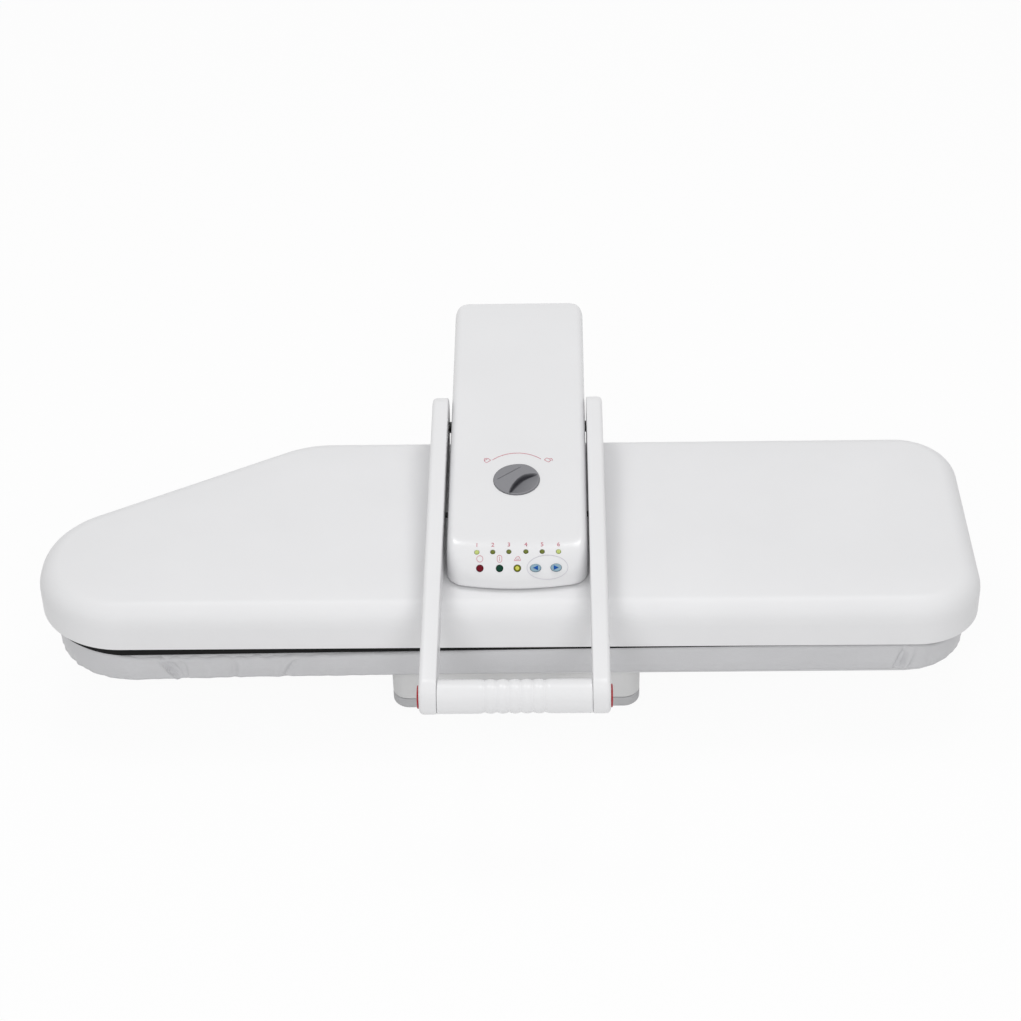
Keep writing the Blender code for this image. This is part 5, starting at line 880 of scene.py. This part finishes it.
spokes, knob_rings = 240, 110
radii = KNOB_RADIUS - KNOB_EDGE - np.linspace(0, 1, knob_rings) * (KNOB_RADIUS - 0.8 * MM)
face = radii[:, None, None] * circle(1.0, spokes)
face = np.dstack([face, knob_face(face[..., 0], face[..., 1])[0]])
wall = [lift(circle(KNOB_RADIUS, spokes), -KNOB_SINK)]
for side, down in quarter_turn(5)[:-1]:
    ring_line = lift(circle(KNOB_RADIUS - KNOB_EDGE * side, spokes), 0.0)
    ring_line[:, 2] = knob_face(ring_line[:, 0], ring_line[:, 1])[0] - KNOB_EDGE * down
    wall.append(ring_line)
bore = [lift(circle(KNOB_BORE, spokes), height) for height in (-5.5 * MM, -KNOB_SINK)]
points, faces = loft(np.concatenate([bore, wall, face]))
knob = solid("knob_body", (set_down(points, knob_place), faces))
# The painted shade is kept on the knob's points for its finish.
dull = knob.data.attributes.new("dull", "FLOAT", "POINT")
dull.data.foreach_set("value", knob_face(points[:, 0], points[:, 1])[1])
dress(knob, "knob_plastic", "lock", "lock_knob", sharp=50)

# %% [markdown]
# ## Handle
#
# Each arm is its side view carried across, with round edges, and hollowed for its steel bar.
# The grip is turned, with soft ribs, and the steam buttons sit in the arms' ends.

# %%
arm_front, arm_rear = GRIP_Y - GRIP_RADIUS, SHAFT_Y + 29 * MM
arm_low, arm_top = GRIP_Z - GRIP_RADIUS, SHAFT_Z + 27.68 * MM
ELBOW_Y, REAR_LOW_Z = mm(-125, 137)
# Corners of the side view: place along and up, and radius
ARM_CORNERS = np.array([
    (arm_front, arm_low, GRIP_RADIUS - 3 * GAP), (GRIP_Y + GRIP_RADIUS, arm_low, GRIP_RADIUS),
    (ELBOW_Y, REAR_LOW_Z, -40 * MM), (arm_rear, REAR_LOW_Z, 24.4 * MM),
    (arm_rear, arm_top, 25 * MM), (arm_front, arm_low + 31.3 * MM, 17 * MM)])
SEAT_DEPTH, BUSH_FROM, BUSH_BORE = mm(4.5, 46.8, 3.8)


def arm_side(inset):
    """An arm's side view, moved in. A radius below zero marks its one hollow corner."""
    radii = np.abs(ARM_CORNERS[:, 2] - inset)
    return round_corners(moved_in(ARM_CORNERS[:, :2], inset), radii, 18)


bar_front = (GRIP_Y + GRIP_RADIUS + BAR_HALF_HEIGHT, GRIP_Z + BAR_HALF_HEIGHT / 2)
lean = math.atan2(SHAFT_Z - bar_front[1], SHAFT_Y - bar_front[0])
shaft, grip = (SHAFT_Y, SHAFT_Z), (GRIP_Y, GRIP_Z)
reach = (BAR_HALF_HEIGHT + GAP) * around(np.linspace(-QUARTER, QUARTER, 17) + lean)
strap = np.vstack([shaft + reach, bar_front - reach])
edges = quarter_turn(6)
levels = [(INNER_EDGE * s, ARM_INNER + INNER_EDGE * d) for s, d in edges[::-1]]
levels += [(ARM_EDGE * s, ARM_INNER + ARM_THICKNESS - ARM_EDGE * d) for s, d in edges]
inner, outer = ARM_INNER - OVERRUN, ARM_INNER + ARM_THICKNESS
bar_end = ARM_INNER + BAR_THICKNESS + 2 * GAP
socket_end = ARM_INNER + SOCKET_DEPTH + GAP
cuts = (
    (strap, inner, bar_end),
    (circle(SHAFT_RADIUS + GAP, 32, shaft), bar_end - 1 * MM, socket_end + BAR_THICKNESS),
    (circle(TUBE_RADIUS + GAP, 48, grip), inner, socket_end),
    (circle(STEAM_BUTTON + GAP, 64, grip), outer - SEAT_DEPTH, outer + OVERRUN))
steam_cap = cap(STEAM_BUTTON, outer - STEAM_BODY, outer + STEAM_PROUD, 5, 0.55, 0.05 * MM)
bush = [(BUSH_RADIUS, BUSH_FROM), (BUSH_RADIUS, ARM_INNER - GAP), (BUSH_BORE, ARM_INNER - GAP),
        (BUSH_BORE, BUSH_FROM)]
for side_name, side in (("left", -1), ("right", 1)):
    arm = solid(f"arm_shell_{side_name}",
                loft([lift(arm_side(inset), side * x, "x") for inset, x in levels]))
    pocket, bore, socket, seat = (
        prism(outline, side * low, side * high, "x") for outline, low, high in cuts)
    carve(arm, pocket, bore, together([socket, seat]))
    dress(arm, "handle_white_plastic", "handle", f"arm_cover_{side_name}")
    button = f"steam_button_{side_name}"
    rings = [lift(circle(r, 64, grip), side * x, "x") for r, x in steam_cap]
    dress(solid(f"steam_cap_{side_name}", loft(rings)), "red_plastic", button, button)
    rings = [lift(circle(r, 48, shaft), side * x, "x") for r, x in bush]
    dress(solid(f"bush_{side_name}", loft(rings, joined=True)), "black_plastic", "head",
          f"handle_bush_{side_name}")

half_grooves = GROOVE_PITCH * GROOVE_COUNT / 2
stations = np.linspace(-half_grooves, half_grooves, 181)
ribs = GRIP_RADIUS - GROOVE_DEPTH * (1 - np.abs(np.cos(math.pi * stations / GROOVE_PITCH)))
grip_end = ARM_INNER - GAP
profile = [(GRIP_RADIUS, -grip_end)] + list(zip(ribs, stations)) + [
    (GRIP_RADIUS, grip_end), (TUBE_RADIUS + GAP, grip_end), (TUBE_RADIUS + GAP, -grip_end)]
rings = [lift(circle(r, 72, grip), x, "x") for r, x in profile]
sleeve = solid("grip_sleeve", loft(rings, joined=True))
dress(sleeve, "handle_white_plastic", "handle", "grip", sharp=50)

# %% [markdown]
# ## Heated plate
#
# Its underside has steam vents in rows. They are shallow blind holes here, dark inside as on the
# real plate, and show when the head is up.

# %%
PLATE_EDGE, VENT_RADIUS, VENT_DEPTH = mm(2, 2.2, 4)
skin = round_edge(head, PLATE_EDGE, PLATE_Z, 5, start=PLATE_MARGIN, way=1)
upper = lift(head(PLATE_MARGIN), PLATE_Z + PLATE_THICKNESS)
plate = solid("plate_body", loft(skin[::-1] + [upper]), machine=False)
vents = []
for row, vent_y in enumerate((-80, -40, 0, 40, 80)):
    for vent_x in np.arange(-320 + 20 * (row % 2), 330, 40):
        if vent_y < 20 or vent_x > -120:
            vent = circle(VENT_RADIUS, 12, (vent_x * MM, vent_y * MM))
            vents.append(prism(vent, PLATE_Z - 2 * MM, PLATE_Z + VENT_DEPTH))
carve(plate, together(vents), machine=False)
dress(plate, "cast_aluminium", "head", "heat_plate")

# %% [markdown]
# ## Water tank
#
# A drawer of clear plastic with a filler hole behind a flap, both with soft edges.

# %%
def tank_outline(inset):
    """The tank's rounded cross section, moved in."""
    return rectangle(inset - TANK_HALF, TANK_LOW_Z + inset, TANK_HALF - inset, TANK_TOP_Z - inset,
                     TANK_CORNER - inset, 10)


def flap_outline(inset):
    """The flap's outline, moved in."""
    return rectangle(inset - FLAP_HALF, FLAP_LOW_Z + inset, FLAP_HALF - inset, FLAP_TOP_Z - inset,
                     FLAP_CORNER - inset, 10)


FILLER_RADIUS, FILLER_DEPTH, TANK_REAR_WALL = mm(9, 10, 7.4)
rear = round_edge(tank_outline, TANK_EDGE, REAR_Y, 4, "y")
front = round_edge(tank_outline, TANK_EDGE, TANK_FRONT_Y, 4, "y", way=1)
tank = solid("tank_body", loft(front[::-1] + rear))
recess = rectangle(-FLAP_HALF - GAP, FLAP_LOW_Z - GAP, FLAP_HALF + GAP, FLAP_TOP_Z + GAP,
                   FLAP_CORNER + GAP)
filler = circle(FILLER_RADIUS, 48, (0, (FLAP_LOW_Z + FLAP_TOP_Z) / 2))
carve(
    tank, prism(recess, REAR_Y - FLAP_THICKNESS - GAP, REAR_Y + OVERRUN, "y"),
    prism(filler, REAR_Y - FILLER_DEPTH, REAR_Y + OVERRUN, "y"),
    prism(tank_outline(TANK_WALL), TANK_FRONT_Y + TANK_WALL, REAR_Y - TANK_REAR_WALL, "y"))
dress(tank, "tank_plastic", "water_tank", "water_tank")
rings = [lift(flap_outline(0), REAR_Y - FLAP_THICKNESS, "y")]
rings += round_edge(flap_outline, FLAP_EDGE, REAR_Y, 4, "y")
dress(solid("flap_body", loft(rings)), "tank_plastic", "tank_flap", "tank_flap")

# %% [markdown]
# ## Printed signs
#
# Prints are thin strips and figures laid on the surface. A picture on the console could carry them
# too, but then each would need a map. The signs are plain: figures over the small lamps, a circle,
# a gauge and an iron over the large ones, and an arc between an open and a shut padlock.

# %%
PRINT, LINE = mm(0.1, 0.36)


def stroke(line, width, closed=False):
    """A strip of even width along a flat line."""
    line = np.asarray(line, float)
    ahead = np.roll(line, -1, 0) - np.roll(line, 1, 0) if closed else np.gradient(line, axis=0)
    side = unit(np.stack([-ahead[:, 1], ahead[:, 0]], -1)) * width / 2
    count = len(line)
    i = np.arange(count if closed else count - 1)
    j = (i + 1) % count
    faces = np.stack([i, j, j + count, i + count], -1).tolist()
    return np.vstack([line + side, line - side]), faces


def shifted(shape, x, y):
    """A flat shape moved in its plane."""
    return shape[0] + (x, y), shape[1]


def on_front(flat, angle):
    """Flat points, x across and y up from the row at an angle, laid on the rounded front. The angle
    falls by the way up over the front's local radius."""
    x, up = flat[:, 0], flat[:, 1]
    reach = FRONT_RADIUS - BOW * (x / BOW_SPAN) ** 2
    turn = angle + ROW_DROOP * (x / ROW_SPAN) ** 2
    turn = turn - up / np.hypot(reach * math.cos(angle), ARC_RISE * math.sin(angle))
    spot = np.stack([x, ARC_Y - reach * np.sin(turn), CONSOLE_Z + ARC_RISE * np.cos(turn)], -1)
    out = np.stack([0 * x, -np.sin(turn) / reach, np.cos(turn) / ARC_RISE], -1)
    return spot + unit(out) * PRINT


def printed(name, shape, look, body, slot):
    """A thin print with a little thickness, sunk in the surface that it lies on."""
    thing = solid(name, shape)
    step = thing.modifiers.new("thickness", "SOLIDIFY")
    step.thickness, step.offset = 2 * PRINT, 0.0
    dress(thing, look, body, slot=slot)


def figure(text, height):
    """A plain figure as a flat shape, its middle at zero."""
    curve = bpy.data.curves.new("figure", "FONT")
    curve.body, curve.align_x, curve.align_y, curve.size = text, "CENTER", "CENTER", height / 0.7
    holder = placed("figure", curve)
    view = bpy.context.evaluated_depsgraph_get()
    mesh = bpy.data.meshes.new_from_object(holder.evaluated_get(view))
    points = np.empty(len(mesh.vertices) * 3)
    mesh.vertices.foreach_get("co", points)
    faces = [list(face.vertices) for face in mesh.polygons]
    bpy.data.objects.remove(holder)
    return points.reshape(-1, 3)[:, :2], faces


SMALL_SIGN_UP, BIG_SIGN_UP = mm(7, 8.2)
front_signs = []
for k, x in enumerate(SMALL_LAMP_X):
    points, faces = shifted(figure(str(k + 1), 4 * MM), x, SMALL_SIGN_UP)
    front_signs.append((on_front(points, SMALL_ANGLE), faces))
iron = np.array([(-2.8, -1.6), (2.9, -1.6), (1.8, 1.7), (-0.6, 1.7)]) * MM
signs = (
    stroke(circle(2.7 * MM, 40), LINE, True),
    together([stroke(rectangle(*mm(-2, -3, 2, 3, 1.9)), LINE, True),
              stroke([(0, -1.7 * MM), (0, 1.7 * MM)], LINE)]),
    together([stroke(round_corners(iron, mm(0.3, 0.3, 1, 1.4)), LINE, True),
              stroke([mm(-1.2, -0.4), mm(1.6, -0.4)], LINE)]))
for x, (points, faces) in zip(BIG_LAMP_X, signs):
    front_signs.append((on_front(points + (x, BIG_SIGN_UP), BIG_ANGLE), faces))
printed("front_signs", together(front_signs), "pale_red_print", "head", "red_plastic")

OVAL_HALVES, OVAL_AT, OVAL_LINE = mm(17.7, 10.7), mm(27.2, 0.2), 0.4 * MM
points, faces = stroke(spread_evenly(circle(1.0, 360) * OVAL_HALVES, 180)[0], OVAL_LINE, True)
printed("button_ring", (on_front(points + OVAL_AT, BIG_ANGLE), faces), "pale_grey_print",
        "head", "knob_plastic")
for side_name, side, x in (("left", -1, SET_BUTTON_X[0]), ("right", 1, SET_BUTTON_X[1])):
    corners = np.array([(side * -2.1, -2.1), (side * 2.3, 0.0), (side * -2.1, 2.1)]) * MM
    points = np.column_stack([corners, np.full(3, BUTTON_PROUD + 0.12 * MM)])
    printed(f"set_sign_{side_name}", (set_down(points, front_place(BIG_ANGLE, x)), [[0, 1, 2]]),
            "blue_print", f"set_button_{side_name}", "pale_blue_plastic")

ARC_AT, ARC_RADIUS, ARC_LINE = mm(0.3, 4.6), 31.4 * MM, 0.5 * MM
LOCK_AT, LOCK_ACROSS, LOCK_SIZE, LOCK_LEAN = mm(0.7, 26.6), 27.6 * MM, 1.2, math.radians(40)
arc = ARC_AT + ARC_RADIUS * around(np.linspace(math.radians(47), math.radians(135), 48))
panel_signs = [stroke(arc, ARC_LINE)]
body_line = round_corners(
    np.array([(-2.1, -2), (2.1, -2), (2.1, 1), (-2.1, 1)]) * MM, [0.5 * MM] * 4, 4)
turn = np.linspace(0, math.pi, 14)
for side, opened in ((-1, 0.0), (1, 1.5 * MM)):
    shackle = (opened, 1 * MM) + around(turn) * mm(1.4, 1.5)
    points, faces = together([stroke(body_line, LINE, True), stroke(shackle, LINE)])
    cos, sin = math.cos(LOCK_LEAN), -side * math.sin(LOCK_LEAN)
    points = LOCK_SIZE * points @ np.array([(cos, sin), (-sin, cos)])
    panel_signs.append(shifted((points, faces), LOCK_AT[0] + side * LOCK_ACROSS, LOCK_AT[1]))
points, faces = together(panel_signs)
points = set_down(np.column_stack([points, np.full(len(points), PRINT)]), knob_place)
printed("panel_signs", (points, faces), "pale_red_print", "head", "red_plastic")

# %% [markdown]
# ## Floor, light and camera
#
# The photo has a white ground with hardly a shadow. Two soft lamps stand in front, left and right
# of the camera, and their shine is left out, because the photo has none of it. Two smaller ones
# hang overhead and a little behind, and shine in the console's corners. The camera stands where the
# photo's stood.

# %%
def shown_white(tree, plain, kind, share):
    """Rays from the camera, also those off gloss or through clear pieces, find white in place of
    the plain shader, by a share."""
    rays, white, blend = (tree.nodes.new("ShaderNode" + name) for name in (
        "LightPath", kind, "MixShader"))
    white.inputs["Color"].default_value = (1, 1, 1, 1)
    white.inputs["Strength"].default_value = 1.0
    total = rays.outputs["Is Camera Ray"]
    for operation, other in (("ADD", rays.outputs["Is Glossy Ray"]),
                             ("ADD", rays.outputs["Is Transmission Ray"]), ("MULTIPLY", None)):
        step = tree.nodes.new("ShaderNodeMath")
        step.operation = operation
        tree.links.new(total, step.inputs[0])
        if other:
            tree.links.new(other, step.inputs[1])
        else:
            step.inputs[1].default_value = share
        total = step.outputs[0]
    tree.links.new(total, blend.inputs["Fac"])
    tree.links.new(plain.outputs[0], blend.inputs[1])
    tree.links.new(white.outputs[0], blend.inputs[2])
    ending = next(node for node in tree.nodes if node.bl_idname.startswith("ShaderNodeOutput"))
    tree.links.new(blend.outputs[0], ending.inputs["Surface"])


FLOOR_REACH, FLOOR_SHARE, SKY_STRENGTH = 6.0, 0.94, 0.5
ground = Finish("ground", (0.78, 0.78, 0.78))
ground.feed("Base Color", ground.tint(ground.noise(3.0), 0.995, 1.0))
shown_white(ground.tree, ground.shader, "Emission", FLOOR_SHARE)
mesh = bpy.data.meshes.new("floor")
corners = [(x * FLOOR_REACH, y * FLOOR_REACH, 0) for x, y in ((-1, -1), (1, -1), (1, 1), (-1, 1))]
mesh.from_pydata(corners, [], [(0, 1, 2, 3)])
floor = placed("floor", mesh)
floor.data.materials.append(ground.material)


def softbox(name, place, width, height, power, shines=True):
    """A rectangular lamp that looks at the press."""
    light = bpy.data.lights.new(name, "AREA")
    light.shape, light.size, light.size_y, light.energy = "RECTANGLE", width, height, power
    holder = placed(name, light)
    holder.location, holder.visible_glossy = place, shines
    look = Vector((0, 0, 0.1)) - Vector(place)
    holder.rotation_euler = look.to_track_quat("-Z", "Y").to_euler()


softbox("overhead_left", (-0.5, 0.6, 1.9), 0.5, 0.5, 5.5)
softbox("overhead_right", (0.5, 0.4, 1.9), 0.5, 0.7, 6)
softbox("front_left", (-0.58, -2.0, 1.66), 0.7, 0.7, 12.5, shines=False)
softbox("front_right", (0.55, -2.0, 1.6), 0.7, 0.7, 12, shines=False)

world = bpy.data.worlds.new("sky")
bpy.context.scene.world = world
world.use_nodes = True
near_light = world.node_tree.nodes["Background"]
near_light.inputs["Color"].default_value = (1, 1, 1, 1)
near_light.inputs["Strength"].default_value = SKY_STRENGTH
shown_white(world.node_tree, near_light, "Background", 1.0)

CAMERA_SPOT = Vector((0.04518, -1.73761, 1.43159))
DOWN, ASIDE, ROLL = math.radians(36.6), math.radians(1.39), math.radians(1.38)
forward = Vector((-math.sin(ASIDE), math.cos(ASIDE), 0)) * math.cos(DOWN)
forward.z = -math.sin(DOWN)
level = Vector((math.cos(ASIDE), math.sin(ASIDE), 0))
upright = level.cross(forward)
right = level * math.cos(ROLL) - upright * math.sin(ROLL)
up = level * math.sin(ROLL) + upright * math.cos(ROLL)
lens = bpy.data.cameras.new("camera")
lens.lens, lens.sensor_width = 84.74, 36.0
camera = placed("camera", lens)
turned_to = Matrix((right, up, -forward)).transposed().to_4x4()
camera.matrix_world = Matrix.Translation(CAMERA_SPOT) @ turned_to
bpy.context.scene.camera = camera
bpy.context.scene.view_settings.view_transform = "Standard"
